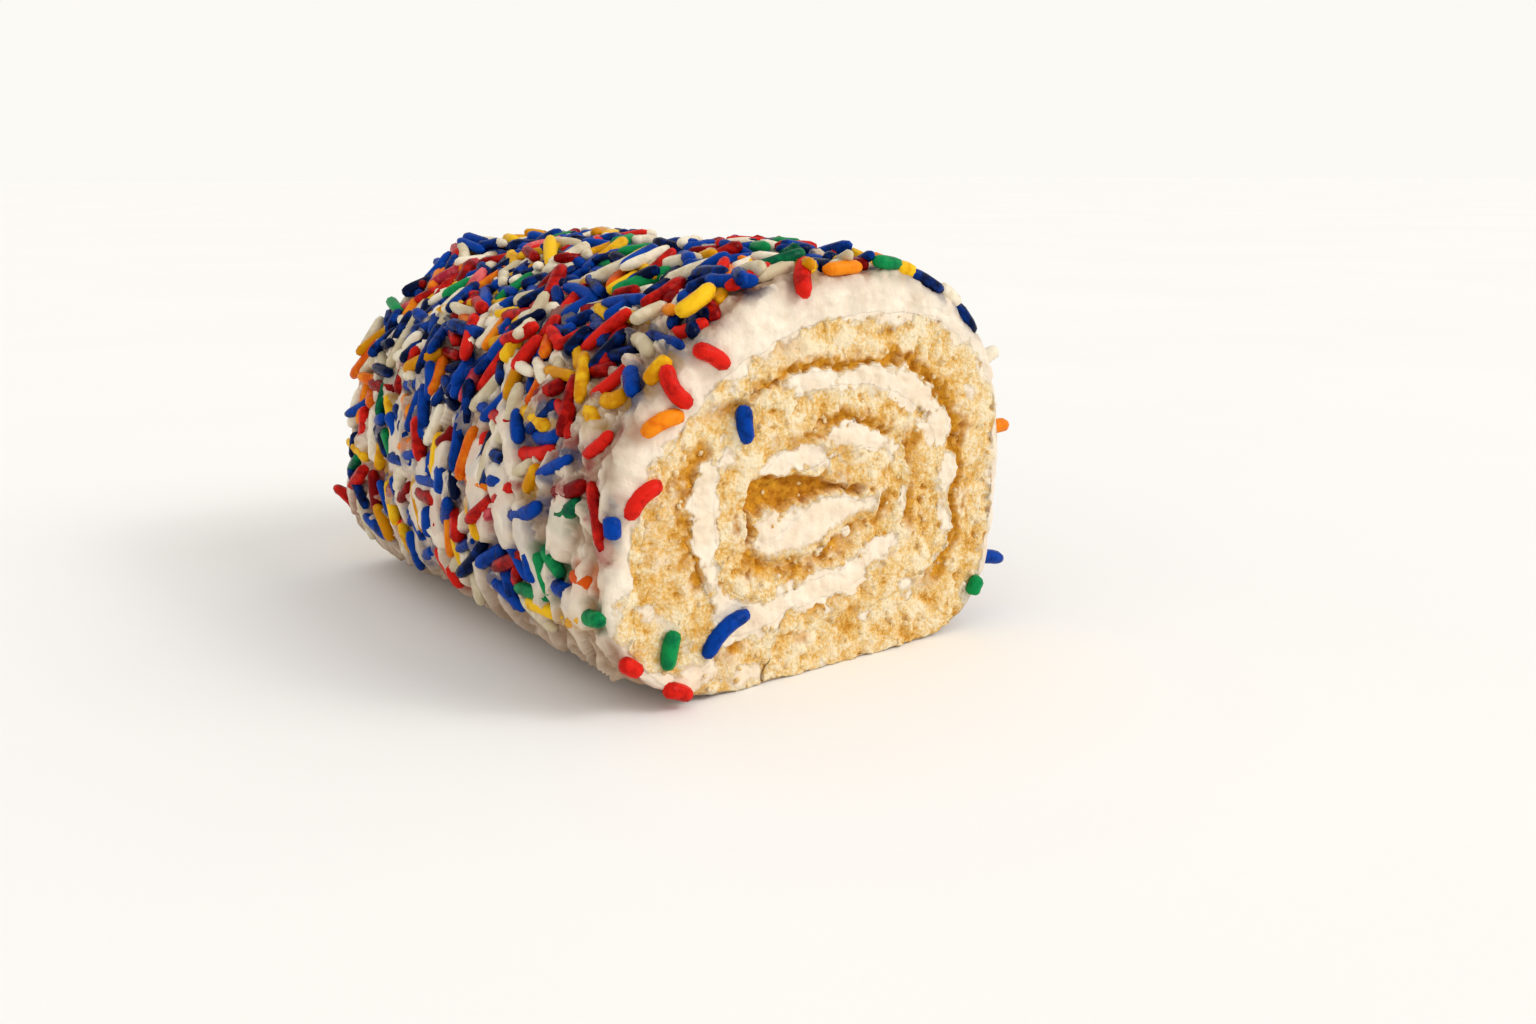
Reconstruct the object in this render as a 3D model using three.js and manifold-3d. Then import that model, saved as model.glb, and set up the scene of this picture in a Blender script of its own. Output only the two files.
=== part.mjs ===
// Swiss roll cake: a vanilla sponge sheet rolled up with cream, frosted round the outside and covered in
// sugar strands.
//
// Millimetres, +Z up. The roll lies along Y with its best cut end facing -Y. The origin is on the face that
// it rests on, halfway along its length. Roll angles are in degrees, clockwise from -X as seen from the cut
// end at -Y, so that 0 is left, 90 up, 180 right and 270 down. They pass 360 as the sheet winds outwards.

import * as THREE from "three";
import { mergeVertices } from "three/addons/utils/BufferGeometryUtils.js";
import Module from "manifold-3d";

const wasm = await Module();
wasm.setup();

// ---------------------------------------------------------------- driving dimensions

const ROLL_LENGTH = 75;
const ROLL_HEIGHT = 46; // frosting included, strands not
const HALF_WIDTH_LEFT = 30.5; // the roll has sagged to the left, so its two halves differ
const HALF_WIDTH_RIGHT = 25.6;
const MIDDLE_X = 2.4; // where the two halves meet
const MIDDLE_Z = 19.6; // height at which the roll is widest
const LEAN = 3.8; // how far the top has slid to +X over the full height
const ROUND_TOP = 2.2; // superellipse exponents: 2 is an ellipse, more is squarer
const ROUND_LOW_LEFT = 3.5;
const ROUND_LOW_RIGHT = 4.6;
const BASE_PRESS = 1.02; // the base would reach this much of its depth below the table, and lies flat instead

const FROSTING_THIN = 1.2; // under the roll and on its right
const FROSTING_EXTRA = 4.4; // on top of that where the frosting is thickest
const FROSTING_CREST = 60; // roll angle of its thickest place
const FROSTING_SPREAD = 0.8; // exponent of the fall from the crest
const RIM_ROUND = 2.4; // rounding of the frosting where the cut ends start
const FROSTING_SETBACK = 0.25; // its ends lie this far back from the cut sponge
const FROSTING_LUMP = 0.22; // height of its lumps, as a share of its thickness
const LUMP_ANGLE = 13; // width of a lump, in degrees round the roll and in mm along it
const LUMP_LENGTH = 6.5;
const BASE_SMOOTH = 4; // the lumps die away over this height above the table

const PITCH = 6.1; // one turn of sponge and cream
const CORE_RADIUS = 5.5; // of the cream line where its first full turn starts
const CORE_FLAT = 4.5; // the first fold is flat: half its length
const CORE_X = -0.9;
const CORE_Z = 18.9;
const DRIFT_X = 0.4; // the winding's centre moves by this each turn
const DRIFT_Z = 1.6;
const CORE_TILT = 0.12; // slope of the first fold
const LEVELLING = [0.5, 1]; // turns between which that slope dies away
const CORE_CLOSE = 7.15; // how fast the line closes up inside the first turn
const CORE_STRETCH = 3.5; // how much longer the first fold gets inside the first turn
const WINDING_ROUND = 2.45; // superellipse exponents of the winding: above, below at first, and below later
const WINDING_ROUND_LOW = 2.2;
const WINDING_SQUARE_LOW = 3.8;
const SQUARING = [0.65, 0.85]; // turns between which the second passes into the third

const CREAM_START = -162; // roll angles of the ends of the cream and of the sheet
const CREAM_END = 633;
const SHEET_START = -345; // the sheet's first fold lies over the start of the cream, back to front
const SHEET_FOLD = -180;
const FOLD_ROOM = 18; // degrees over which the fold passes round the cream's tip
const FOLD_CLEARANCE = new THREE.Vector2(0.3, 0.35);
const SHEET_END = 637;
const SHEET_STEP = [277.5, 278.5]; // past the sheet's tail, the turn before it swells out to the base
const CORNER = { at: 304, spread: 24, reach: 1.9 }; // the cream has gathered low on the first turn's left
const LAYER_GAP = 0.15; // left between neighbouring pieces

// Cream thickness along the sheet, as [roll angle, thickness].
const CREAM_THICKNESS = [
  [-162, 1.9],
  [-140, 4.2],
  [-90, 6.0],
  [-45, 5.2],
  [0, 1.1],
  [45, 2.2],
  [90, 3.8],
  [135, 2.6],
  [180, 1.1],
  [225, 2.5],
  [270, 2.4],
  [302, 4.2],
  [335, 2.1],
  [360, 2.7],
  [405, 1.7],
  [450, 2.1],
  [500, 2.8],
  [540, 2.7],
  [585, 1.2],
  [605, 1.5],
  [633, 0.9],
];

const HOLLOW = { until: -190, ease: 20, depth: 3.4 }; // the first fold has torn back from both cut ends
const CRUST_DEPTH = 1.3; // the browned skin next to the cream has shrunk back from the cut
const CRUST_PATCH = 30; // degrees of winding over which that depth varies
const CRUMB_RELIEF = 0.55; // roughness of the cut crumb, and the width of its bumps
const CRUMB_BUMP = 2.3;
const CREAM_RELIEF = 0.5;
const CREAM_BUMP = 3.1;
const CREAM_EDGE = 0.35; // the cream's edges lie this far behind its middle
const OTHER_END = 40; // shifts the noise, so that the two cut ends differ

const STRAND_RADIUS = 1.0;
const STRAND_CORNERS = 4; // sides of its section
const CORNER_REACH = 1.2; // of its corners, as a share of its radius, so that it has a round one's bulk
const STRAND_SHOULDER = 0.37; // where it starts to taper, as a share of its length from the middle
const STRAND_LENGTH = 7;
const STRAND_LENGTH_SPREAD = 2.4;
const STRAND_COUNT = 202;
const STRAND_BEND = 0.5; // how far to the side the ends of the most bent one lie
const STRAND_TILT = 10; // degrees by which one end may stand out further
const STRAND_PROUD = 0.35; // height of its middle over the frosting
const FACE_STRAND_SUNK = 0.2; // depth of its middle in a cut end
const STRAND_SPACING = 2.3; // least distance between the middles and shoulders of two of them, on top
const STRAND_THINNING = 0.9; // added to that on the two sides
const THINNING = [45, 75]; // degrees from the top between which it sets in
const STRAND_CLEARANCE = 1.6; // least height of a shoulder over the table
const STRAND_TRIES = 20000;
const STRAND_SPAN = [-24, 210]; // roll angles between which they are scattered
const STRAND_END_MARGIN = 3.2; // scattered ones stay this far from the cut ends
const BARE = { below: 50, back: 13 }; // on the left, this near the first cut end, only the laid ones lie

const SEED = { crumb: 3, crust: 5, strands: 7, cream: 11, lumps: 17 };

const WINDING_STEP = 9; // degrees between sections of the winding
const AROUND = 34; // points round the frosting
const ALONG = 12; // spaces between rings along the frosting
const RIM_RING = 0.3; // how far in the ring lies that rounds each rim
const EVEN_PLACES = 720; // places round it that strands are drawn from
const FINE_STEPS = 1440; // of the outline when its length is measured
const NORMAL_STEP = 1.5; // degrees either side that give the outline's direction

// ---------------------------------------------------------------- numbers and noise

const radians = (degrees) => (degrees * Math.PI) / 180;
const mix = (a, b, share) => a + (b - a) * share;
const signedPower = (value, power) => Math.sign(value) * Math.abs(value) ** power;

function smoothStep(from, to, value) {
  const share = Math.min(1, Math.max(0, (value - from) / (to - from)));
  return share * share * (3 - 2 * share);
}

// A repeatable random generator.
function randomFrom(seed) {
  let state = seed;
  return () => {
    state = (state + 0x6d2b79f5) | 0;
    let bits = Math.imul(state ^ (state >>> 15), 1 | state);
    bits = (bits + Math.imul(bits ^ (bits >>> 7), 61 | bits)) ^ bits;
    return ((bits ^ (bits >>> 14)) >>> 0) / 4294967296;
  };
}

// A repeatable value between -1 and 1 for a whole-numbered place.
function hash(i, j, seed) {
  const wave = Math.sin(i * 127.1 + j * 311.7 + seed * 74.7) * 43758.5453;
  return 2 * (wave - Math.floor(wave)) - 1;
}

// Smooth noise between -1 and 1 over a plane, one lump for each unit.
function noise(u, v, seed) {
  const i = Math.floor(u);
  const j = Math.floor(v);
  const su = smoothStep(0, 1, u - i);
  const sv = smoothStep(0, 1, v - j);
  const low = mix(hash(i, j, seed), hash(i + 1, j, seed), su);
  const high = mix(hash(i, j + 1, seed), hash(i + 1, j + 1, seed), su);
  return mix(low, high, sv);
}

// The value at a place in a list of [place, value], eased from one to the next.
function along(stations, place) {
  const next = stations.findIndex(([at]) => at >= place);
  if (next < 0) return stations.at(-1)[1];
  if (next === 0) return stations[0][1];
  const [from, low] = stations[next - 1];
  const [to, high] = stations[next];
  return mix(low, high, smoothStep(from, to, place));
}

// ---------------------------------------------------------------- the roll's cross-section

// Unit direction of a roll angle, squared up by a superellipse exponent above and one below.
function squaredDirection(angle, top, low) {
  const left = -Math.cos(radians(angle));
  const up = Math.sin(radians(angle));
  const power = 2 / (up > 0 ? top : low);
  return [signedPower(left, power), signedPower(up, power)];
}

// The outside of the frosting, as (x, z), before its lumps.
function outline(angle) {
  const right = -Math.cos(radians(angle)) > 0;
  const low = right ? ROUND_LOW_RIGHT : ROUND_LOW_LEFT;
  const [across, up] = squaredDirection(angle, ROUND_TOP, low);
  const x = MIDDLE_X + across * (right ? HALF_WIDTH_RIGHT : HALF_WIDTH_LEFT);
  const depth = up > 0 ? ROLL_HEIGHT - MIDDLE_Z : MIDDLE_Z * BASE_PRESS;
  const z = Math.max(0, MIDDLE_Z + up * depth);
  return new THREE.Vector2(x + (LEAN * (z - MIDDLE_Z)) / ROLL_HEIGHT, z);
}

// The unit normal of the outline, pointing out.
function outwards(angle) {
  const ahead = outline(angle + NORMAL_STEP).sub(outline(angle - NORMAL_STEP)).normalize();
  return new THREE.Vector2(-ahead.y, ahead.x);
}

// Roll angles at even steps of the way round the outline, starting at 0.
function evenAngles(count) {
  const degrees = 360 / FINE_STEPS;
  const lengths = [0];
  for (let k = 1; k <= FINE_STEPS; k++) {
    lengths.push(lengths[k - 1] + outline(degrees * k).distanceTo(outline(degrees * (k - 1))));
  }
  const found = [];
  let k = 0;
  for (let n = 0; n < count; n++) {
    const wanted = (lengths[FINE_STEPS] * n) / count;
    while (lengths[k + 1] < wanted) k++;
    const share = (wanted - lengths[k]) / (lengths[k + 1] - lengths[k]);
    found.push(degrees * (k + share));
  }
  return found;
}

function frostingThickness(angle) {
  const crest = Math.max(0, Math.cos(radians(angle - FROSTING_CREST)));
  return FROSTING_THIN + FROSTING_EXTRA * crest ** FROSTING_SPREAD;
}

// The outside of the rolled sponge, with some of the gap to the frosting already left.
function spongeOutline(angle, gap = 0) {
  const inset = frostingThickness(angle) - gap;
  return outline(angle).addScaledVector(outwards(angle), -inset);
}

// The middle line of the cream, moved outwards by offset.
function windingPoint(angle, offset) {
  const turn = angle / 360;
  const inside = smoothStep(0, -0.5, turn);
  const radius = turn > 0 ? CORE_RADIUS + PITCH * turn : CORE_RADIUS * Math.exp(CORE_CLOSE * turn);
  const low = mix(WINDING_ROUND_LOW, WINDING_SQUARE_LOW, smoothStep(...SQUARING, turn));
  const [across, up] = squaredDirection(angle, WINDING_ROUND, low);
  const gathered = CORNER.reach * Math.exp(-(((angle - CORNER.at) / CORNER.spread) ** 2));
  const reach = across * (radius + CORE_FLAT + CORE_STRETCH * inside + offset);
  const tilt = CORE_TILT * (1 - smoothStep(...LEVELLING, turn));
  return new THREE.Vector2(
    CORE_X + DRIFT_X * turn + reach,
    CORE_Z + DRIFT_Z * turn + up * (radius + gathered + offset) + tilt * reach,
  );
}

const creamEdge = (angle, side) => windingPoint(angle, (side * along(CREAM_THICKNESS, angle)) / 2);

// The sheet's inner face lies on the cream, and before its fold on the other side of the cream's start.
function sheetInner(angle) {
  const folded = angle < SHEET_FOLD;
  const over = folded ? 2 * SHEET_FOLD - angle : angle;
  const away = along(CREAM_THICKNESS, over) / 2 + LAYER_GAP;
  const point = windingPoint(over, folded ? -away : away);
  const roundsTip = angle >= SHEET_FOLD - FOLD_ROOM && angle <= SHEET_FOLD;
  return roundsTip ? point.add(FOLD_CLEARANCE) : point;
}

// Its outer face meets the next turn of cream, or the frosting once there is no more cream.
function sheetOuter(angle) {
  if (angle >= SHEET_STEP[1]) return spongeOutline(angle);
  const next = angle + 360;
  return windingPoint(next, -along(CREAM_THICKNESS, next) / 2 - LAYER_GAP);
}

// ---------------------------------------------------------------- solids

// A solid from rows of points across a band, cut square at both ends of the roll and then roughened there.
// sections is a list of rows of (x, z), all of one length. relief is how far a point lies back from the cut.
function bandGeometry(sections, relief) {
  const columns = sections[0].length;
  const positions = [];
  const triangles = [];
  const index = (end, s, c) => (end * sections.length + s) * columns + c;
  for (const end of [0, 1]) {
    sections.forEach((row, s) =>
      row.forEach((point, c) => {
        const back = relief(end, s, c, point);
        const y = end ? ROLL_LENGTH / 2 - back : -ROLL_LENGTH / 2 + back;
        positions.push(point.x, y, point.y);
      }),
    );
  }
  const quad = (a, b, c, d) => triangles.push(a, c, b, a, d, c);
  for (let s = 0; s + 1 < sections.length; s++) {
    for (let c = 0; c + 1 < columns; c++) {
      quad(index(0, s, c), index(0, s, c + 1), index(0, s + 1, c + 1), index(0, s + 1, c));
      quad(index(1, s, c), index(1, s + 1, c), index(1, s + 1, c + 1), index(1, s, c + 1));
    }
    const last = columns - 1;
    quad(index(0, s, 0), index(0, s + 1, 0), index(1, s + 1, 0), index(1, s, 0));
    quad(index(0, s, last), index(1, s, last), index(1, s + 1, last), index(0, s + 1, last));
  }
  for (let c = 0; c + 1 < columns; c++) {
    const tail = sections.length - 1;
    quad(index(0, 0, c), index(1, 0, c), index(1, 0, c + 1), index(0, 0, c + 1));
    quad(index(0, tail, c), index(0, tail, c + 1), index(1, tail, c + 1), index(1, tail, c));
  }
  return indexed(positions, triangles);
}

function indexed(positions, triangles) {
  const geometry = new THREE.BufferGeometry();
  geometry.setAttribute("position", new THREE.Float32BufferAttribute(positions, 3));
  geometry.setIndex(triangles);
  return geometry;
}

function solidOf(geometry) {
  const bare = geometry.clone();
  bare.deleteAttribute("normal");
  bare.deleteAttribute("uv");
  const merged = mergeVertices(bare, 1e-4);
  const mesh = new wasm.Mesh({
    numProp: 3,
    vertProperties: new Float32Array(merged.attributes.position.array),
    triVerts: new Uint32Array(merged.index.array),
  });
  return new wasm.Manifold(mesh);
}

// The largest body of a solid as a geometry, which drops the scraps that a join or cut leaves.
function geometryOf(solid) {
  const bodies = solid.decompose();
  const largest = bodies.reduce((best, body) => (body.volume() > best.volume() ? body : best));
  const mesh = largest.getMesh();
  const geometry = new THREE.BufferGeometry();
  geometry.setAttribute("position", new THREE.BufferAttribute(mesh.vertProperties, 3));
  geometry.setIndex(new THREE.BufferAttribute(mesh.triVerts, 1));
  return geometry;
}

// Roll angles from one to another by whole steps, with both ends and any extra ones.
function angles(from, to, extra = []) {
  const list = [from, to, ...extra];
  for (let a = Math.ceil(from / WINDING_STEP) * WINDING_STEP; a < to; a += WINDING_STEP) list.push(a);
  return [...new Set(list)].sort((a, b) => a - b);
}

// ---------------------------------------------------------------- sponge

const SPONGE_ROWS = [0, 0.2, 0.6, 1]; // shares of the sheet's thickness, from its browned inner skin outwards

function spongeGeometry() {
  const firstFold = angles(SHEET_START, SHEET_FOLD - FOLD_ROOM);
  const stations = [...firstFold, ...angles(SHEET_FOLD, SHEET_END, SHEET_STEP)];
  const sections = stations.map((angle) => {
    const inner = sheetInner(angle);
    const outer = sheetOuter(angle);
    return SPONGE_ROWS.map((share) => inner.clone().lerp(outer, share));
  });
  const relief = (end, s, c, point) => {
    const angle = stations[s];
    const rough = noise(point.x / CRUMB_BUMP + OTHER_END * end, point.y / CRUMB_BUMP, SEED.crumb);
    const gone = 0.5 + 0.5 * noise(angle / CRUST_PATCH, OTHER_END * end, SEED.crust);
    const crust = c === 0 ? CRUST_DEPTH * gone : 0;
    const solid = smoothStep(HOLLOW.until - HOLLOW.ease, HOLLOW.until + HOLLOW.ease, angle);
    return CRUMB_RELIEF * (1 + rough) + crust + HOLLOW.depth * (1 - solid);
  };
  return bandGeometry(sections, relief);
}

// ---------------------------------------------------------------- cream

const CREAM_ROWS = [0, 0.5, 1];

function creamGeometry() {
  const stations = angles(CREAM_START, CREAM_END);
  const sections = stations.map((angle) => {
    const inner = creamEdge(angle, -1);
    const outer = creamEdge(angle, 1);
    return CREAM_ROWS.map((share) => inner.clone().lerp(outer, share));
  });
  const relief = (end, s, c, point) => {
    const rough = noise(point.x / CREAM_BUMP + OTHER_END * end, point.y / CREAM_BUMP, SEED.cream);
    return CREAM_RELIEF * (1 + rough) + (c === 1 ? 0 : CREAM_EDGE);
  };
  return bandGeometry(sections, relief);
}

// ---------------------------------------------------------------- sugar strands

// A strand with pointed ends, lying along X with its middle at the origin and its back up. Its ends are bent
// sideways, or it is straight and has one ring fewer.
function strandGeometry(length, radius, bend) {
  const rings = bend > 0 ? [-STRAND_SHOULDER, 0, STRAND_SHOULDER] : [-STRAND_SHOULDER, STRAND_SHOULDER];
  const aside = (share) => -bend * (2 * share) ** 2;
  const reach = CORNER_REACH * radius;
  const positions = [-length / 2, aside(0.5), 0];
  for (const share of rings) {
    for (let k = 0; k < STRAND_CORNERS; k++) {
      const turn = (2 * Math.PI * (k + 0.5)) / STRAND_CORNERS;
      positions.push(share * length, aside(share) + reach * Math.cos(turn), reach * Math.sin(turn));
    }
  }
  positions.push(length / 2, aside(0.5), 0);
  const tip = 1 + rings.length * STRAND_CORNERS;
  const lastRing = tip - STRAND_CORNERS;
  const triangles = [];
  for (let k = 0; k < STRAND_CORNERS; k++) {
    const next = (k + 1) % STRAND_CORNERS;
    triangles.push(0, 1 + next, 1 + k);
    triangles.push(lastRing + k, lastRing + next, tip);
    for (let a = 1; a < lastRing; a += STRAND_CORNERS) {
      const b = a + STRAND_CORNERS;
      triangles.push(a + k, a + next, b + next, a + k, b + next, b + k);
    }
  }
  return indexed(positions, triangles);
}

// The turn and shift that lay a strand on a surface facing normal, turned by heading about it and tilted up
// at one end.
function layOn(place, normal, heading, tilt = 0) {
  const side = Math.abs(normal.y) > 0.9 ? new THREE.Vector3(1, 0, 0) : new THREE.Vector3(0, 1, 0);
  const ahead = side.clone().addScaledVector(normal, -side.dot(normal)).normalize();
  ahead.applyAxisAngle(normal, heading);
  const across = normal.clone().cross(ahead);
  ahead.applyAxisAngle(across, -tilt);
  return new THREE.Matrix4().makeBasis(ahead, across, ahead.clone().cross(across)).setPosition(place);
}

// The strands nearest the cut end at -Y, as [roll angle, back from the cut, heading, length].
const LAID_STRANDS = [
  [-15, 6, 25, 6], [-12, 2, 5, 3.4], [-9, 9.1, 170, 4.2], [-5, 5.2, 0, 4.2], [-4, 11.9, 150, 5],
  [0, 16.9, 20, 7.5], [2, 22.4, 33, 5.8], [3, 8.9, 26, 5], [4, 3.3, 118, 8], [7, 9.1, 17, 6.7],
  [7, 16.8, 62, 4], [9, 24.1, 0, 3.4], [11, 12.6, 26, 7], [12, 18, 12, 8], [17, 22.2, 125, 4.5],
  [18, 5.2, 41, 5], [20, 19.7, 170, 7.5], [22, 13.3, 147, 7], [24, 8.6, 150, 4], [26, 22, 85, 3.4],
  [27, 18.5, 30, 5], [29, 6.5, 20, 3.8], [31, 25.2, 120, 6.5], [33, 8.4, 56, 6.2], [34, 4.8, 140, 4.5],
  [35, 12.4, 12, 5], [35, 21.3, 135, 6], [38, 18.5, 150, 6], [38, 1.9, 80, 3.6], [40, 11.9, 10, 7],
  [43, 26.3, 175, 8.5], [44, 7.7, 160, 5.5], [46, 5, 175, 8], [52, 25.8, 15, 6.5], [55, 8, 125, 6],
  [56, 17.4, 170, 4], [61, 12.5, 130, 7.5], [63, 4.7, 140, 5], [70, 19, 122, 9], [74, 8.4, 135, 5.4],
  [88, 1.1, 90, 5.5], [100, 1, 90, 4.2], [114, 1.1, 90, 6.2], [134, 1.1, 90, 5.5],
];

// One strand has caught by its end, low on the right, and stands straight out.
const CAUGHT_STRAND = { angle: 200, back: 2.5, out: 1.6, length: 6.6 };

// The turn and shift that lay a strand's middle at a height over the smooth outline.
function layOnRoll(angle, y, height, heading, tilt) {
  const out = outwards(angle);
  const place = outline(angle).addScaledVector(out, height);
  return layOn(new THREE.Vector3(place.x, y, place.y), new THREE.Vector3(out.x, 0, out.y), heading, tilt);
}

// The strands on the frosting. After the laid ones, places are drawn, and those that lie clear of the earlier
// ones are kept, so that they spread evenly, a little wider apart on the two sides than on top.
function frostingStrands() {
  const random = randomFrom(SEED.strands);
  const marks = [];
  const solids = [];
  const lay = (angle, y, heading, length, bend, tilt, least) => {
    const flat = layOnRoll(angle, y, 0, heading, tilt);
    const shares = [-STRAND_SHOULDER, 0, STRAND_SHOULDER];
    const own = shares.map((share) => new THREE.Vector3(share * length, 0, 0).applyMatrix4(flat));
    if (own.some((mark) => mark.z < STRAND_CLEARANCE)) return;
    if (marks.some((other) => own.some((mark) => mark.distanceTo(other) < least))) return;
    marks.push(...own);
    const laid = layOnRoll(angle, y, lumpHeight(angle, y) + STRAND_PROUD, heading, tilt);
    solids.push(solidOf(strandGeometry(length, STRAND_RADIUS, bend).applyMatrix4(laid)));
  };
  LAID_STRANDS.forEach(([angle, back, heading, length], n) => {
    lay(angle, back - ROLL_LENGTH / 2, radians(heading), length, (n % 2) * STRAND_BEND, 0, 0);
  });
  const places = evenAngles(EVEN_PLACES);
  for (let tries = 0; tries < STRAND_TRIES && solids.length < STRAND_COUNT; tries++) {
    const round = places[Math.floor(random() * EVEN_PLACES)];
    const angle = round > 360 + STRAND_SPAN[0] ? round - 360 : round;
    const y = (random() - 0.5) * (ROLL_LENGTH - 2 * STRAND_END_MARGIN);
    const heading = random() * Math.PI;
    const length = STRAND_LENGTH + (random() - 0.5) * STRAND_LENGTH_SPREAD;
    const bend = STRAND_BEND * Math.max(0, 2 * random() - 1);
    const tilt = radians(STRAND_TILT) * random() ** 2;
    const least = STRAND_SPACING + STRAND_THINNING * smoothStep(...THINNING, Math.abs(angle - 90));
    const bare = angle < BARE.below && y < BARE.back - ROLL_LENGTH / 2;
    if (!bare && angle < STRAND_SPAN[1]) lay(angle, y, heading, length, bend, tilt, least);
  }
  const { angle, back, out, length } = CAUGHT_STRAND;
  const caught = layOnRoll(angle, back - ROLL_LENGTH / 2, out, 0, Math.PI / 2);
  return [...solids, solidOf(strandGeometry(length, STRAND_RADIUS, 0).applyMatrix4(caught))];
}

// The strands that landed on the cut end at -Y, as [x, z, heading in degrees, length].
const FACE_STRANDS = [
  [-14.6, 7.9, 34, 7.2],
  [-21.6, 7.1, 76, 4.4],
  [-11.6, 30.3, 96, 4.3],
];

function faceStrands(gap = 0) {
  const towards = new THREE.Vector3(0, -1, 0);
  return FACE_STRANDS.map(([x, z, heading, length]) => {
    const place = new THREE.Vector3(x, FACE_STRAND_SUNK - ROLL_LENGTH / 2, z);
    const laid = layOn(place, towards, radians(heading));
    return solidOf(strandGeometry(length + gap, STRAND_RADIUS + gap, STRAND_BEND).applyMatrix4(laid));
  });
}

// ---------------------------------------------------------------- frosting

const ROUND_ANGLES = evenAngles(AROUND);

// How far the lumpy frosting stands out of the smooth outline. The noise has its seam under the roll.
function lumpHeight(angle, y) {
  const sinceBase = (angle + 450) % 360;
  const lump = noise(sinceBase / LUMP_ANGLE, y / LUMP_LENGTH, SEED.lumps);
  return FROSTING_LUMP * frostingThickness(angle) * lump * smoothStep(0, BASE_SMOOTH, outline(angle).y);
}

// A point of the frosting, with the rim at each cut end rounded over. The base stays flat.
function frostingPoint(angle, y) {
  const fromEnd = ROLL_LENGTH / 2 - FROSTING_SETBACK - Math.abs(y);
  const over = Math.max(0, 1 - fromEnd / RIM_ROUND);
  const rim = RIM_ROUND * (1 - Math.sqrt(1 - over * over));
  const point = outline(angle);
  const inset = rim * smoothStep(0, 1, point.y);
  point.addScaledVector(outwards(angle), lumpHeight(angle, y) - inset);
  return new THREE.Vector3(point.x, y, Math.max(0, point.y));
}

// Rings along the roll: close together where the rims are rounded, and evenly spaced between.
function ringPlaces() {
  const end = ROLL_LENGTH / 2 - FROSTING_SETBACK;
  const shoulder = end - RIM_ROUND;
  const rim = [end, mix(end, shoulder, RIM_RING)];
  const between = [];
  for (let r = 0; r <= ALONG; r++) between.push(shoulder * ((2 * r) / ALONG - 1));
  return [...rim.map((y) => -y), ...between, ...rim.reverse()];
}

function frostingGeometry() {
  const rings = ringPlaces();
  const positions = [];
  const triangles = [];
  for (const y of rings) {
    for (const angle of ROUND_ANGLES) positions.push(...frostingPoint(angle, y).toArray());
  }
  for (let a = 0; a < (rings.length - 1) * AROUND; a += AROUND) {
    const b = a + AROUND;
    for (let n = 0; n < AROUND; n++) {
      const next = (n + 1) % AROUND;
      triangles.push(a + n, b + next, b + n, a + n, a + next, b + next);
    }
  }
  for (const last of [0, rings.length - 1]) {
    const first = last * AROUND;
    const y = rings[last];
    const centre = positions.length / 3;
    positions.push(MIDDLE_X, y, MIDDLE_Z);
    for (let n = 0; n < AROUND; n++) {
      const a = first + n;
      const b = first + ((n + 1) % AROUND);
      triangles.push(...(y > 0 ? [centre, a, b] : [centre, b, a]));
    }
  }
  return indexed(positions, triangles);
}

// Where the rolled sponge goes: a straight bore through the frosting.
function boreGeometry() {
  const stations = angles(0, 360).slice(0, -1);
  const shape = new THREE.Shape(stations.map((angle) => spongeOutline(angle, LAYER_GAP)).reverse());
  const bore = new THREE.ExtrudeGeometry(shape, { depth: 2 * ROLL_LENGTH, bevelEnabled: false });
  return bore.rotateX(Math.PI / 2).translate(0, ROLL_LENGTH, 0);
}

function frostingSolid() {
  const coat = wasm.Manifold.union([solidOf(frostingGeometry()), ...frostingStrands()]);
  return coat.subtract(solidOf(boreGeometry()));
}

// ---------------------------------------------------------------- the part

function named(name, geometry, colour, roughness) {
  geometry.computeVertexNormals();
  const finish = { color: colour, roughness, metalness: 0, flatShading: true };
  const mesh = new THREE.Mesh(geometry, new THREE.MeshStandardMaterial(finish));
  mesh.name = name;
  return mesh;
}

const sponge = wasm.Manifold.union([solidOf(spongeGeometry()), ...faceStrands()]);
const cream = solidOf(creamGeometry()).subtract(wasm.Manifold.union(faceStrands(2 * LAYER_GAP)));

const roll = new THREE.Group();
roll.add(named("sponge", geometryOf(sponge), "#e3bd6f", 0.95));
roll.add(named("cream", geometryOf(cream), "#f7ead6", 0.6));
roll.add(named("frosting", geometryOf(frostingSolid()), "#f1e9dc", 0.5));

export default roll;
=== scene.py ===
# %% [markdown]
# # A frosted swiss roll
# A swiss roll is a thin sponge sheet, spread with cream, rolled up, frosted and turned in sugar strands.
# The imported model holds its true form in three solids: sponge, cream and frosting. Here each of them is
# replaced by a finer mesh of the same form, with its crumb, its torn edges and its colours, and the
# strands get theirs. Sizes are in millimetres in the code, and become metres when a mesh is made.

import bpy
import numpy as np
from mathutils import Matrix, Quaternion, Vector, kdtree


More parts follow.
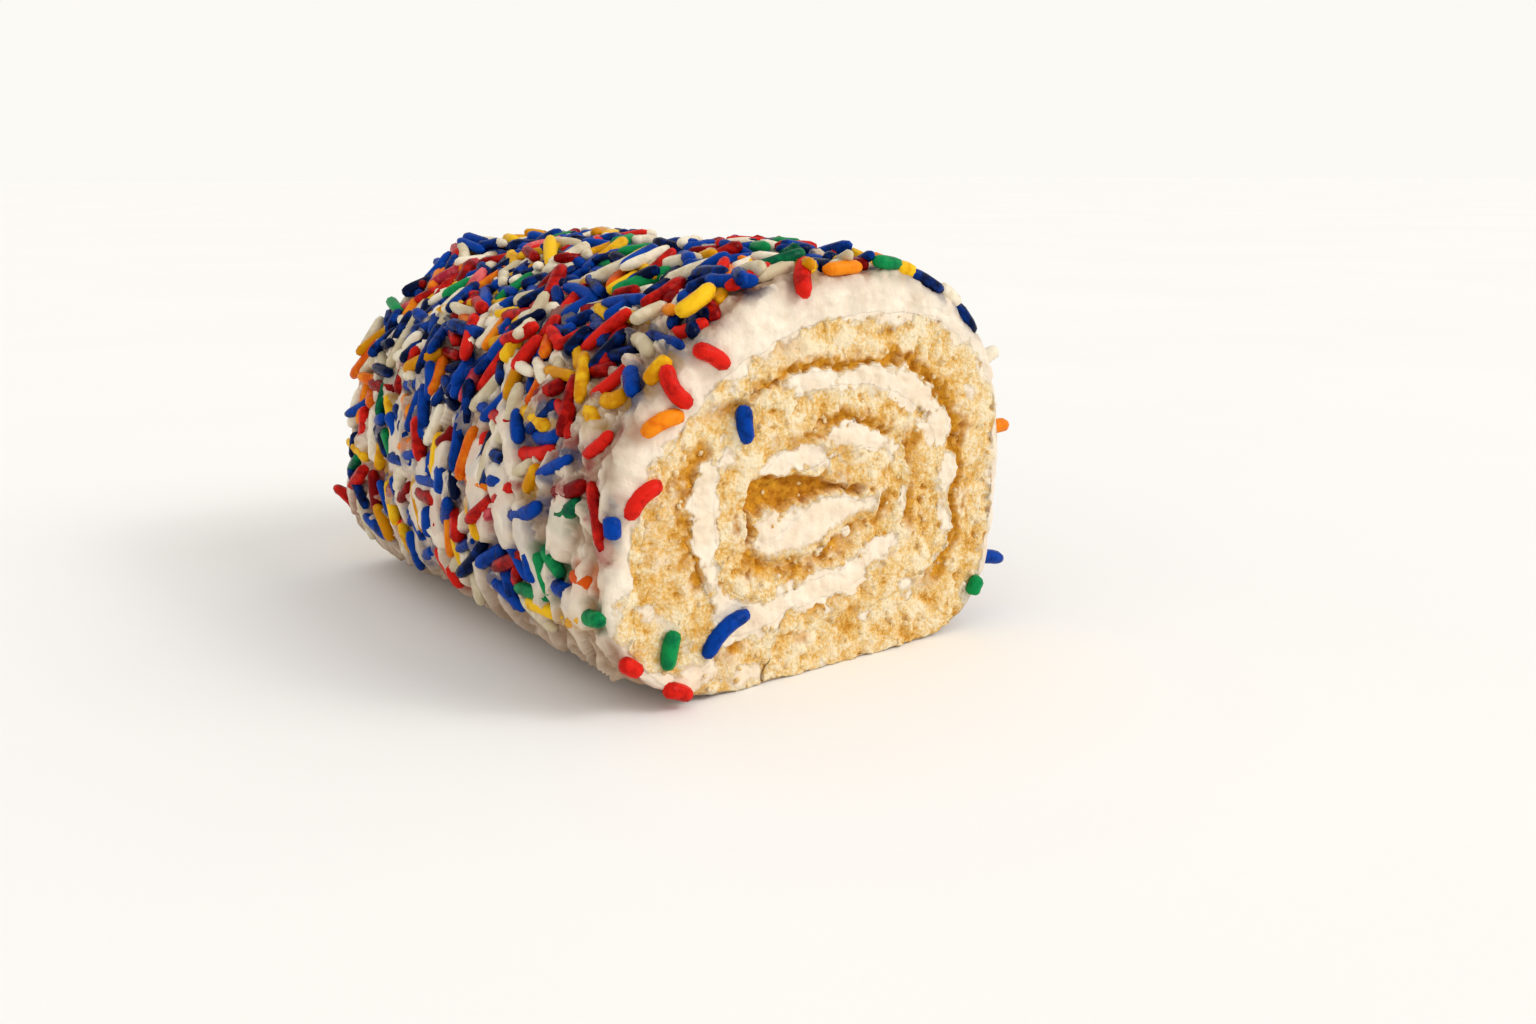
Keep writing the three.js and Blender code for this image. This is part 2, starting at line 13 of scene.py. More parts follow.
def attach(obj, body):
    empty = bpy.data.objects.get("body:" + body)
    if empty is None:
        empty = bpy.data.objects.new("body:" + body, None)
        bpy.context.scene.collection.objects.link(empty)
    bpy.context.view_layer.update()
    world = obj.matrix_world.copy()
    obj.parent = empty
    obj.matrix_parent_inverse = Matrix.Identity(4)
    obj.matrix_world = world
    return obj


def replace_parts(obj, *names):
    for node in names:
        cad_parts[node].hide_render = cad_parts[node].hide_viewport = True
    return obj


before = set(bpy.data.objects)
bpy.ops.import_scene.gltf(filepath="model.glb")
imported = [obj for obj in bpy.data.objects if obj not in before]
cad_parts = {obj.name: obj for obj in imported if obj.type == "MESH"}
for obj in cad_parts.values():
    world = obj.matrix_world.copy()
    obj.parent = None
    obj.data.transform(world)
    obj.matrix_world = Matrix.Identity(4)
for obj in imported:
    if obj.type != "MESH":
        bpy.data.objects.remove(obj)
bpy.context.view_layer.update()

MM = 0.001
print("packed nodes:", sorted(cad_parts))

# %% [markdown]
# ## The roll's cross-section
# Seen from its cut end, the roll is a circle that has sagged: flat below, rounder above, and wider on the
# left. A superellipse with a different squareness for each quarter gives that with a few sizes. Angles
# run clockwise from the left, so 90 is the top and 270 the base, and they pass 360 as the sheet winds
# outwards.

# %% Sizes of the roll
ROLL_LENGTH = 75.0
ROLL_HEIGHT = 46.0
HALF_WIDTH_LEFT = 30.5
HALF_WIDTH_RIGHT = 25.6
MIDDLE = (2.4, 19.6)
LEAN = 3.8
ROUND_TOP = 2.2
ROUND_LOW_LEFT = 3.5
ROUND_LOW_RIGHT = 4.6
BASE_PRESS = 1.02
NORMAL_STEP = 1.5


def smooth_step(low, high, value):
    share = np.clip((value - low) / (high - low), 0, 1)
    return share * share * (3 - 2 * share)


def mix(a, b, share):
    return a + (b - a) * share


def squared_direction(angle, top, low):
    """Unit direction of a roll angle, squared up by one exponent above the middle and another below."""
    across = -np.cos(np.radians(angle))
    up = np.sin(np.radians(angle))
    power = 2 / np.where(up > 0, top, low)
    return np.sign(across) * np.abs(across) ** power, np.sign(up) * np.abs(up) ** power


def outline(angle):
    """The outside of the frosting as (x, z), before its lumps."""
    right = -np.cos(np.radians(angle)) > 0
    low = np.where(right, ROUND_LOW_RIGHT, ROUND_LOW_LEFT)
    across, up = squared_direction(angle, ROUND_TOP, low)
    x = MIDDLE[0] + across * np.where(right, HALF_WIDTH_RIGHT, HALF_WIDTH_LEFT)
    depth = np.where(up > 0, ROLL_HEIGHT - MIDDLE[1], MIDDLE[1] * BASE_PRESS)
    z = np.maximum(0, MIDDLE[1] + up * depth)
    return np.stack([x + LEAN * (z - MIDDLE[1]) / ROLL_HEIGHT, z], axis=-1)


def unit(vectors):
    return vectors / np.linalg.norm(vectors, axis=-1, keepdims=True)


def outwards(angle):
    """The unit normal of the outline, pointing out, as (x, z)."""
    ahead = unit(outline(angle + NORMAL_STEP) - outline(angle - NORMAL_STEP))
    return np.stack([-ahead[..., 1], ahead[..., 0]], axis=-1)


print("outline: left, top and right at", outline(np.array([0.0, 90.0, 180.0])).round(1).tolist())

# %% [markdown]
# ## How thick the frosting is
# Frosting is spread on with a knife, and stays thickest at the upper left, where the knife turned back.
# Under the roll it has been pressed out to almost nothing, so that there the sponge nearly meets the
# plate.

# %% Thickness of the frosting
FROSTING_THIN = 1.2
FROSTING_EXTRA = 4.4
FROSTING_CREST = 60
FROSTING_SPREAD = 0.8
BASE_BARE = 0.8


def under_roll(angle):
    """1 where the roll lies on the plate, 0 on its sides and top."""
    place = np.mod(angle, 360)
    return smooth_step(212, 235, place) * (1 - smooth_step(300, 322, place))


def crested(angle):
    """1 at the upper left, where the frosting is thickest, falling to 0 a quarter turn off."""
    return np.maximum(0, np.cos(np.radians(angle - FROSTING_CREST))) ** FROSTING_SPREAD


def frosting_thickness(angle):
    return FROSTING_THIN * (1 - BASE_BARE * under_roll(angle)) + FROSTING_EXTRA * crested(angle)


def sponge_outline(angle, gap=0.0):
    inset = frosting_thickness(angle) - gap
    return outline(angle) - outwards(angle) * inset[..., None]


print("frosting on top and under the roll, in mm:", frosting_thickness(np.array([90.0, 270.0])).round(2))

# %% [markdown]
# ## The winding
# The cream follows one line that starts in the core and winds outwards by one pitch each turn. The core
# is a flat fold, because the first fold of a sheet can't be round. Sponge fills what lies between two
# turns of cream. The cream's thickness is set at a few places along the line and eased between them.

# %% Sizes of the winding
PITCH = 6.1
CORE_RADIUS = 5.5
CORE_FLAT = 4.5
CORE = (-0.9, 18.9)
DRIFT = (0.4, 1.6)
CORE_TILT = 0.12
CORE_CLOSE = 7.15
CORE_STRETCH = 3.5
WINDING_ROUND = 2.45
WINDING_LOW = (2.2, 3.8)
SQUARING = (0.65, 0.85)
LEVELLING = (0.5, 1.0)
CREAM_START = -179.5
CREAM_END = 637.4
SHEET_START = -359
SHEET_FOLD = -180
FOLD_ROOM = 18
FOLD_CLEARANCE = (-0.15, -0.2)
SHEET_END = 637.4
SHEET_STEP = (277.5, 278.5)
CORNER_AT, CORNER_SPREAD, CORNER_REACH = 304, 24, 1.9
LAYER_OVERLAP = 0.03
CREAM_THICKNESS = [
    (-162, 1.9), (-140, 4.2), (-90, 6.0), (-45, 5.2), (0, 1.1), (45, 2.2), (90, 3.8), (135, 2.6),
    (180, 1.1), (225, 2.5), (270, 2.4), (302, 4.2), (335, 2.1), (360, 2.7), (405, 1.7), (450, 2.1),
    (500, 2.8), (540, 2.7), (585, 1.2), (605, 1.5), (633, 0.9),
]


def along(stations, place):
    """The value at a place in a list of (place, value), eased from one to the next."""
    at, values = np.array(stations, dtype=float).T
    after = np.clip(np.searchsorted(at, place), 1, len(at) - 1)
    share = smooth_step(at[after - 1], at[after], place)
    return mix(values[after - 1], values[after], share)


def winding_point(angle, offset):
    """The middle line of the cream as (x, z), moved outwards by offset."""
    turn = angle / 360
    inside = smooth_step(0, -0.5, turn)
    closing = CORE_RADIUS * np.exp(CORE_CLOSE * np.minimum(turn, 0))
    radius = np.where(turn > 0, CORE_RADIUS + PITCH * turn, closing)
    low = mix(*WINDING_LOW, smooth_step(*SQUARING, turn))
    across, up = squared_direction(angle, WINDING_ROUND, low)
    gathered = CORNER_REACH * np.exp(-(((angle - CORNER_AT) / CORNER_SPREAD) ** 2))
    reach = across * (radius + CORE_FLAT + CORE_STRETCH * inside + offset)
    tilt = CORE_TILT * (1 - smooth_step(*LEVELLING, turn))
    x = CORE[0] + DRIFT[0] * turn + reach
    z = CORE[1] + DRIFT[1] * turn + up * (radius + gathered + offset) + tilt * reach
    return np.stack([x, z], axis=-1)


print("cream line at one and two turns:", winding_point(np.array([0.0, 360.0]), 0).round(1).tolist())

# %% [markdown]
# ## The two faces of the sheet
# The sheet's inner face lies on the cream. Before its fold it lies over the cream's first stretch, back
# to front, so that the core has no open hole. Its outer face meets the next turn of cream, and past the
# last cream it meets the frosting.


# %% Faces of the cream and of the sheet
def cream_faces(angle):
    half = along(CREAM_THICKNESS, angle) / 2
    return winding_point(angle, -half), winding_point(angle, half)


def sheet_inner(angle):
    folded = angle < SHEET_FOLD
    over = np.where(folded, 2 * SHEET_FOLD - angle, angle)
    away = along(CREAM_THICKNESS, over) / 2 - LAYER_OVERLAP
    return winding_point(over, np.where(folded, -away, away))


def sheet_outer(angle):
    following = angle + 360
    wound = winding_point(following, -along(CREAM_THICKNESS, following) / 2 + LAYER_OVERLAP)
    return np.where((angle >= SHEET_STEP[1])[:, None], sponge_outline(angle), wound)


def sheet_faces(angle):
    """Both faces of the sheet. Where the fold rounds the cream's tip they run straight across."""
    fold = np.array([SHEET_FOLD - FOLD_ROOM, SHEET_FOLD], dtype=float)
    step = np.array(SHEET_STEP)
    inner, outer = sheet_inner(angle), sheet_outer(angle)
    fold_inner = sheet_inner(fold) + FOLD_CLEARANCE
    step_outer = sheet_outer(step)
    at_fold = (angle >= fold[0]) & (angle <= fold[1])
    at_step = (angle >= step[0]) & (angle <= step[1])
    for k in range(2):
        inner[:, k] = np.where(at_fold, np.interp(angle, fold, fold_inner[:, k]), inner[:, k])
        outer[:, k] = np.where(at_step, np.interp(angle, step, step_outer[:, k]), outer[:, k])
    return inner, outer


half_way = np.subtract(*sheet_faces(np.array([180.0])))
print("sheet thickness half-way round:", np.linalg.norm(half_way, axis=1).round(1))

# %% [markdown]
# ## Unevenness
# Nothing on a cake is even. Three kinds of noise make its surfaces: smooth lumps in space, the same lumps
# layered at smaller and smaller sizes, and pits scattered one to a cell, for the bubbles of the crumb.
# Two short helpers add up lumps of several sizes, and turn lumps into pushes. All take a seed, so that
# every run gives the same cake.


# %% Noise in space
CELL_PRIMES = np.array([374761393, 668265263, 2147483647])
SEED_PRIME = 1013904223
MIXERS = [(13, 1274126177), (15, 1911520717)]
LOW_BITS = 0xFFFFFFFF
LUMP_SHIFT = 7.77
LUMP_GAIN = 1.6
PIT_WANDER = 0.45


def scrambled(cell, seed):
    """A repeatable value from -1 to 1 for each whole-numbered cell."""
    mixed = (cell @ CELL_PRIMES[: cell.shape[-1]] + seed * SEED_PRIME) & LOW_BITS
    for shift, prime in MIXERS:
        mixed = ((mixed ^ (mixed >> shift)) * prime) & LOW_BITS
    return (mixed ^ (mixed >> 16)) / 2.0**31 - 1


def lumps(points, size, seed):
    """Smooth noise from about -1 to 1 at each point, with lumps of this size."""
    place = points / size + LUMP_SHIFT * seed
    cell = np.floor(place).astype(np.int64)
    offset = place - cell
    ease = offset**3 * (offset * (offset * 6 - 15) + 10)
    axes = range(points.shape[1])
    total = np.zeros(len(points))
    for corner in np.ndindex(*(2,) * len(axes)):
        weight = np.prod(np.where(corner, ease, 1 - ease), axis=1)
        slopes = [scrambled(cell + corner, 5 * seed + k) * (offset[:, k] - corner[k]) for k in axes]
        total += weight * sum(slopes)
    return total * LUMP_GAIN


def summed(points, rows):
    """Lumps of several sizes in one, from rows of (height, size, seed)."""
    return sum(height * lumps(points, size, seed) for height, size, seed in rows)


def shifts(points, size, seeds):
    """Lumps that push points about, one column for each seed."""
    return np.stack([lumps(points, size, seed) for seed in seeds], axis=1)


def layered(points, size, seed, layers=3, fade=0.5):
    """Lumps with finer lumps on them, each layer half the size and fade times the height of the last."""
    return sum(fade**n * lumps(points, size / 2**n, seed + n) for n in range(layers))


def pits(plane, size, seed):
    """For pits scattered one to a cell: how far off the nearest is, in cells, and its own random value."""
    place = plane / size
    cell = np.floor(place).astype(np.int64)
    nearest = np.full(len(plane), 9.0)
    own = np.zeros(len(plane))
    for i, j in np.ndindex(3, 3):
        there = cell + (i - 1, j - 1)
        own_place = np.stack([scrambled(there, seed), scrambled(there, seed + 1)], axis=1)
        spot = there + 0.5 + PIT_WANDER * own_place
        distance = np.linalg.norm(place - spot, axis=1)
        closer = distance < nearest
        nearest = np.where(closer, distance, nearest)
        own = np.where(closer, scrambled(there, seed + 2), own)
    return nearest, own


probe = np.random.default_rng(1).uniform(0, 50, (2000, 3))
print("lumps spread from", lumps(probe, 3, 1).min().round(2), "to", lumps(probe, 3, 1).max().round(2))

# %% [markdown]
# ## Making a mesh
# Every piece below starts as rows of points worked out by numpy. One helper turns points and faces into a
# mesh object at the origin, smooth shaded, with values stored on its points that the materials read as
# attributes.


# %% Mesh helper
ATTRIBUTE_KINDS = {1: ("FLOAT", "value"), 3: ("FLOAT_VECTOR", "vector"), 4: ("FLOAT_COLOR", "color")}


def make_piece(name, points, faces, values=None, walls=None):
    """A mesh object from points in millimetres, faces of equal length, and named values on its points. Faces
    marked as walls are shaded flat, so that they don't darken the edge of the smooth faces beside them."""
    faces = np.asarray(faces, dtype=np.int32)
    corners = faces.shape[1]
    mesh = bpy.data.meshes.new(name)
    mesh.vertices.add(len(points))
    mesh.vertices.foreach_set("co", (np.asarray(points) * MM).astype(np.float32).ravel())
    mesh.loops.add(faces.size)
    mesh.loops.foreach_set("vertex_index", faces.ravel())
    mesh.polygons.add(len(faces))
    mesh.polygons.foreach_set("loop_start", np.arange(0, faces.size, corners, dtype=np.int32))
    mesh.polygons.foreach_set("loop_total", np.full(len(faces), corners, dtype=np.int32))
    mesh.polygons.foreach_set("use_smooth", np.ones(len(faces), dtype=bool) if walls is None else ~walls)
    mesh.update(calc_edges=True)
    for label, numbers in (values or {}).items():
        numbers = np.asarray(numbers, dtype=np.float32)
        kind, field = ATTRIBUTE_KINDS[numbers.size // len(points)]
        mesh.attributes.new(label, kind, "POINT").data.foreach_set(field, numbers.ravel())
    piece = bpy.data.objects.new(name, mesh)
    bpy.context.scene.collection.objects.link(piece)
    return piece


def triangles_of(piece):
    return sum(len(face.vertices) - 2 for face in piece.data.polygons)


def grid_quads(rows, columns, wrap_rows=False, wrap_columns=False):
    """Faces of a grid of points stored row by row."""
    r = np.arange(rows if wrap_rows else rows - 1)[:, None]
    c = np.arange(columns if wrap_columns else columns - 1)[None, :]
    r2, c2 = (r + 1) % rows, (c + 1) % columns
    corners = [r * columns + c, r * columns + c2, r2 * columns + c2, r2 * columns + c]
    return np.stack(corners, axis=-1).reshape(-1, 4)


print("a grid of 3 by 4 points has", len(grid_quads(3, 4)), "faces")

# %% [markdown]
# ## What the knife left
# The cut ends aren't flat. Sponge, cream and frosting meet there in one surface, so its height comes from
# shared rules: a gentle wave, crumb where there is sponge, and softer lumps where there is cream. The
# knife has also dragged the layers about, so every border wanders, and cream and crumb are smeared over
# each other. One value says how creamy a point is: the distance in millimetres to the border, more than 0
# on the cream's side.

# %% The cut
HALF = ROLL_LENGTH / 2
CUT_WAVES = [(0.3, 9, 21), (0.15, 4.2, 22)]
DRAG, DRAG_SIZE = 0.3, 1.9
FINE_DRAG, FINE_DRAG_SIZE = 0.14, 0.75
SMEAR, SMEAR_SIZE = 1.9, 3.4
SMEAR_LAYERS, SMEAR_FADE = 4, 0.62
THIN_SMEAR, THIN_SMEAR_SIZE, THIN_SMEAR_EASE = 1.1, 2.0, (0.3, 0.7)
FLECK_GAIN, FLECK_BAR = 4.2, 3
SOFT_CRUMB = [(0.26, 3.1, 31), (0.26, 1.5, 32)]
CRUMB_PUSH, CRUMB_PUSH_SIZE = 0.45, 1.3
GRAINS = [(1.35, 34, 0.15, 0.1), (0.66, 37, 0.12, 0.07)]
BUBBLE_SIZE, BUBBLE_REACH, BUBBLE_BAR, BUBBLE_DEPTH = 2.4, (0.06, 0.28), 0.35, 0.35
CRACK_SIZE, CRACK_WIDTH, CRACK_DEPTH = 3.4, 0.1, 0.16
CRACKED_SIZE, CRACKED_EASE = 5.5, (0, 0.4)
CRUMB_SUNK = 0.16
CREAM_LUMPS = [(0.3, 2.7, 51), (0.27, 1.3, 52), (0.1, 0.6, 53)]
CREAM_PROUD = 0.03
BORDER_EASE = (-0.25, 0.3)
KNIFE_SMEARS = [
    (-11.0, 31.8, 4.8, 2.4, 35, -2.8), (-3.5, 27.3, 1.7, 1.3, 0, -2.4), (2.6, 25.7, 2.0, 0.9, -20, -2.0),
    (5.0, 27.0, 4.6, 1.1, -24, 1.2), (-12.6, 19.0, 1.8, 6.5, 0, -2.0), (18.5, 14.0, 2.5, 3.0, 0, -1.6),
    (-17.2, 20.0, 1.6, 8.0, 0, 0.6), (-13.0, 38.5, 4.5, 2.8, 30, 1.6), (2.0, 10.8, 7.0, 1.4, 25, 1.2),
    (-10.5, 12.3, 5.0, 1.3, 0, -1.6),
]
CREAM_FLECKS = [
    (-10.6, 7.8, 5.4, 2.7, 0, 1.0), (6.4, 5.2, 1.8, 1.1, 0, 1.0), (13.0, 8.0, 2.8, 1.1, 5, 0.9),
    (-18.4, 3.2, 3.8, 2.8, 10, 1.0), (-11.2, 1.6, 3.6, 2.0, 0, 1.0), (-22.5, 10.5, 5.5, 1.6, -35, 0.8),
    (-13.5, 27.0, 2.4, 3.0, 0, 0.75), (22.5, 30.5, 2.2, 1.4, -50, 0.85),
]


def patches(points, rows):
    """The sum of soft ovals on the front end: (x, z, half its length, half its width, turn, strength)."""
    total = np.zeros(len(points))
    for x, z, long, wide, turn, strength in rows:
        right, up = points[:, 0] - x, points[:, 2] - z
        turn = np.radians(turn)
        ahead = (right * np.cos(turn) + up * np.sin(turn)) / long
        aside = (up * np.cos(turn) - right * np.sin(turn)) / wide
        total += strength * np.exp(-(ahead**2) - aside**2)
    return total * (points[:, 1] < 0)


def drag(points):
    """How far the cut has moved each point sideways, as (x, z)."""
    coarse = DRAG * shifts(points, DRAG_SIZE, (23, 24))
    return coarse + FINE_DRAG * shifts(points, FINE_DRAG_SIZE, (25, 26))


def on_cut(plane, side):
    """Points of the plane of one cut end, in space. side is -1 in front and 1 behind."""
    return np.stack([plane[:, 0], np.full(len(plane), side * HALF), plane[:, 1]], axis=1)


def wander(points):
    """How far the border of cream and crumb wanders, in mm."""
    return SMEAR * layered(points, SMEAR_SIZE, 27, SMEAR_LAYERS, SMEAR_FADE)


def smeared(points, creamy):
    """The distance to the border, in mm, once the knife has wiped cream and crumb over each other."""
    moved = wander(points)
    thin = THIN_SMEAR * smooth_step(*THIN_SMEAR_EASE, lumps(points, THIN_SMEAR_SIZE, 47))
    fleck = FLECK_GAIN * patches(points, CREAM_FLECKS) - FLECK_BAR + 0.5 * moved
    return np.maximum(creamy + moved + thin + patches(points, KNIFE_SMEARS), fleck)


def crumb_height(points):
    """Torn sponge: soft lumps, grains of two sizes, a few bubbles and fine cracks."""
    plane = points[:, [0, 2]] + points[:, 1:2] + CRUMB_PUSH * shifts(points, CRUMB_PUSH_SIZE, (38, 39))
    grains = 0
    for size, seed, high, spread in GRAINS:
        off, own = pits(plane, size, seed)
        grains = grains + (high + spread * own) * (1 - off**2)
    bubble, bubble_own = pits(plane, BUBBLE_SIZE, 35)
    holes = (1 - smooth_step(*BUBBLE_REACH, bubble)) * (bubble_own > BUBBLE_BAR)
    cracks = 1 - smooth_step(0, CRACK_WIDTH, np.abs(lumps(points, CRACK_SIZE, 36)))
    cracks = cracks * smooth_step(*CRACKED_EASE, lumps(points, CRACKED_SIZE, 30))
    return summed(points, SOFT_CRUMB) + grains - CRUMB_SUNK - BUBBLE_DEPTH * holes - CRACK_DEPTH * cracks


def cut_height(points, creamy):
    """The whole rule for the surface of a cut, and the crumb's own height. Cream has soft, low lumps."""
    crumb = crumb_height(points)
    cream = summed(points, CREAM_LUMPS) + CREAM_PROUD
    return summed(points, CUT_WAVES) + mix(crumb, cream, smooth_step(*BORDER_EASE, creamy)), crumb


print("the cut drags borders by up to", round(DRAG + FINE_DRAG, 2), "mm")

# %% [markdown]
# ## Bands from end to end
# Sponge and cream are both bands that wind about the core and run the whole length of the roll. A band is
# built as one grid for each cut end, with many rows along the winding and a few columns through its
# thickness, and plain walls between the two. The grids are fine because the cut is what everyone looks
# at.


# %% Band helper
def even_angles(start, end, spacing, faces, extra=()):
    """Roll angles so that the band's middle line has points this far apart."""
    fine = np.unique(np.concatenate([np.linspace(start, end, 6000), extra]))
    inner, outer = faces(fine)
    lengths = np.linalg.norm(np.diff((inner + outer) / 2, axis=0), axis=1)
    reach = np.concatenate([[0], np.cumsum(lengths)])
    return np.interp(np.linspace(0, reach[-1], int(reach[-1] / spacing) + 1), reach, fine)


def make_band(name, angles, shares, faces, shape_cut):
    """A closed band. shape_cut(points, angle, inner_gap, outer_gap) gives the height of the cut over its
    plane and a dict of values, where the gaps are the distances in mm to the band's two faces."""
    inner, outer = faces(angles)
    plane = (inner[:, None] + (outer - inner)[:, None] * shares[None, :, None]).reshape(-1, 2)
    thick = np.linalg.norm(outer - inner, axis=1)[:, None]
    inner_gap = (thick * shares[None, :]).ravel()
    outer_gap = (thick * (1 - shares[None, :])).ravel()
    angle = np.repeat(angles, len(shares))
    all_points, all_values = [], []
    for side in (-1, 1):
        points = on_cut(plane, side)
        height, values = shape_cut(points, angle, inner_gap, outer_gap)
        moved = plane + drag(points)
        points = np.stack([moved[:, 0], side * (HALF + height), np.maximum(moved[:, 1], 0)], axis=1)
        all_points.append(points)
        all_values.append(values)
    rows, columns = len(angles), len(shares)
    front, behind = grid_quads(rows, columns), rows * columns
    r = np.arange(rows - 1) * columns
    c = np.arange(columns - 1)
    walls = [
        np.stack([r, r + columns, r + columns + behind, r + behind], axis=1),
        np.stack([r, r + behind, r + columns + behind, r + columns], axis=1) + columns - 1,
        np.stack([c, c + behind, c + 1 + behind, c + 1], axis=1),
        np.stack([c, c + 1, c + 1 + behind, c + behind], axis=1) + behind - columns,
    ]
    quads = np.concatenate([front, front[:, ::-1] + behind, *walls])[:, ::-1]
    is_wall = np.arange(len(quads)) >= 2 * len(front)
    values = {label: np.concatenate([v[label] for v in all_values]) for label in all_values[0]}
    return make_piece(name, np.concatenate(all_points), quads, values, is_wall)


def volume_of(piece):
    """Volume in cubic centimetres, which is positive when the faces point outwards."""
    mesh = piece.data
    mesh.calc_loop_triangles()
    points = np.empty(len(mesh.vertices) * 3, dtype=np.float32)
    mesh.vertices.foreach_get("co", points)
    corners = np.empty(len(mesh.loop_triangles) * 3, dtype=np.int32)
    mesh.loop_triangles.foreach_get("vertices", corners)
    a, b, c = points.reshape(-1, 3)[corners].reshape(-1, 3, 3).transpose(1, 0, 2)
    return float(np.einsum("ij,ij->i", a, np.cross(b, c)).sum() / 6 * 1e6)


print("band helper ready")

# %% [markdown]
# ## The sponge
# A cut sponge shows crumb: soft lumps with bubbles between them. Next to the cream lies the sheet's
# browned skin, which has torn away in places and left a ragged golden gap. How wide it gapes is set at a
# few places along the winding, and so is how much cream shows, as the knife has wiped some turns over
# with crumb. Over the core the first fold has sunk in. The material reads how hollow, brown and creamy
# each point is. The hollow value paints the crumb's low places a darker gold, which is painted shade, and
# the brown value also carries gold patches that are partly painted shade.

# %% Sponge
CRUMB_GRID = 0.2
SPONGE_COLUMNS, COLUMNS_INWARDS = 30, 1.12
GAP_DEPTH = 0.6
RECESS_DEPTH = 1.5
GOLD_DEPTH = 0.35
RAGGED_SIZE = 1.5
CORE_RAGGED = 0.5
CORE_EASE, RECESS_EASE, FOLD_EASE = (-0.1, 0.6), (-0.2, 0.5), (-0.3, 0.4)
RECESS_LEDGE, FOLD_MARGIN = 0.6, 1.2
GAPE_VARIES, GAPE_SIZE = 0.6, 3.4
LEAST_CREAM = -0.4
GAP_FOLLOWS = 0.6
GAP_RAGGED = 1.1
GAP_START, GAPE_EASE = (-0.15, 0.3), (0.15, 0.7)
GAP_END, SKIN_END = (0.5, 1.7), (0.9, 2.9)
FROSTING_EDGE = [(0.9, 5.0, 45), (0.8, 1.6, 48)]
GOLD_MEAN, GOLD_VARIES, GOLD_SIZE = 0.8, 0.6, 1.2
HOLLOW_MEAN, HOLLOW_VARIES, HOLLOW_SIZE = 0.4, 0.2, 4.5
BARED = 4
CORE_ENDS = (-9.9, 7.5)
CORE_TOP = [(-10, 19.6), (-8, 19.9), (-4, 19.9), (0, 20.8), (3, 20.8), (4.6, 20.1), (8, 19.4)]
CORE_BOTTOM = [
    (-10, 16.4), (-8, 14.7), (-4, 15.0), (-1, 15.6), (1.5, 16.8), (3, 17.5), (6, 18.0), (8, 18.8),
]
RECESS_ENDS = (-10.9, 5.9)
RECESS_TOP = [(-11, 23.8), (-9, 24.1), (-5, 23.7), (-1, 23.0), (2, 22.1), (5, 21.2), (9, 20.0)]
FOLD_ENDS = (-12.4, 8.4)
# Gold patches: some are the crumb's own colour, some painted shade under the core, at the left, by a strand.
GOLD_AND_SHADE_PATCHES = [
    (-3.6, 27.2, 1.5, 1.2, 0, 0.9), (2.6, 25.6, 1.6, 0.8, -20, 0.6), (-10.2, 15.4, 1.2, 2.0, 0, 0.9),
    (-6.0, 13.9, 3.6, 0.7, 0, 0.7), (4.4, 16.6, 4.0, 0.9, 22, 0.6), (-13.5, 31.9, 3.2, 0.9, 5, 0.9),
    (-6.2, 38.0, 2.6, 1.7, 0, 0.5), (4.0, 6.2, 1.5, 1.0, 0, 0.7), (15.5, 7.8, 1.9, 0.8, 0, 0.5),
    (-12.6, 18.0, 0.9, 4.0, 0, 0.2), (-14.0, 4.4, 2.4, 1.2, 0, 0.4), (-22.5, 20.0, 3.2, 9.0, 0, 0.3),
]
GAPES = [
    (-20, 0.6), (20, 0.6), (50, 0.2), (78, 0.4), (100, 1), (125, 1), (146, 0.4), (165, 0.5), (205, 0.55),
    (235, 0.3), (330, 0.1), (346, 0.65), (384, 0.65), (394, 0.2), (425, 0.3), (440, 1), (500, 1),
    (530, 0.8), (568, 1), (590, 0.4), (610, 0.1), (640, 0),
]
CREAM_SHOWS = [
    (-162, 0.1), (-45, 0.2), (-15, -1.2), (20, -1.4), (48, -0.6), (62, 0), (84, -0.4), (108, -0.2),
    (135, -0.5), (150, -1.1), (180, -1.4), (212, -0.9), (232, 0.4), (300, 0.7), (335, 0.4), (360, 0.3),
    (382, 0), (397, -1.2), (420, -1.3), (434, -0.1), (455, 0.3), (520, 0.3), (545, 0), (575, -0.4),
    (592, -1.3), (612, -1.6), (633, -1.6),
]
FROSTING_SHOWS = [
    (0, -2.6), (12, -2.0), (22, -1.4), (35, -0.3), (50, 1.0), (72, 1.0), (95, 0.7), (125, 0.3), (150, 0),
    (200, -0.2), (240, -1.5), (288, -1.2), (304, 0.2), (322, 0.3), (334, -1.4), (345, -3.6), (354, -3.4),
    (360, -2.6),
]
sponge_shares = np.linspace(0, 1, SPONGE_COLUMNS) ** COLUMNS_INWARDS


def core_shape(points):
    """For the flat fold in the core: how far inside its cream each point is, in mm, how far it has sunk in,
    from 0 to 1, and how much it belongs to the fold at all."""
    x, z = points[:, 0], points[:, 2]
    ragged = CORE_RAGGED * layered(points, RAGGED_SIZE, 41, 3)

    def within(ends, low, high):
        return np.minimum(np.minimum(x - ends[0], ends[1] - x), np.minimum(z - low, high - z)) + ragged

    bottom, top, over = along(CORE_BOTTOM, x), along(CORE_TOP, x), along(RECESS_TOP, x)
    cream = within(CORE_ENDS, bottom, top)
    sunken = smooth_step(*RECESS_EASE, within(RECESS_ENDS, bottom + RECESS_LEDGE, over))
    fold = smooth_step(*FOLD_EASE, within(FOLD_ENDS, bottom - FOLD_MARGIN, over))
    return cream, sunken * smooth_step(*CORE_EASE, -cream), fold


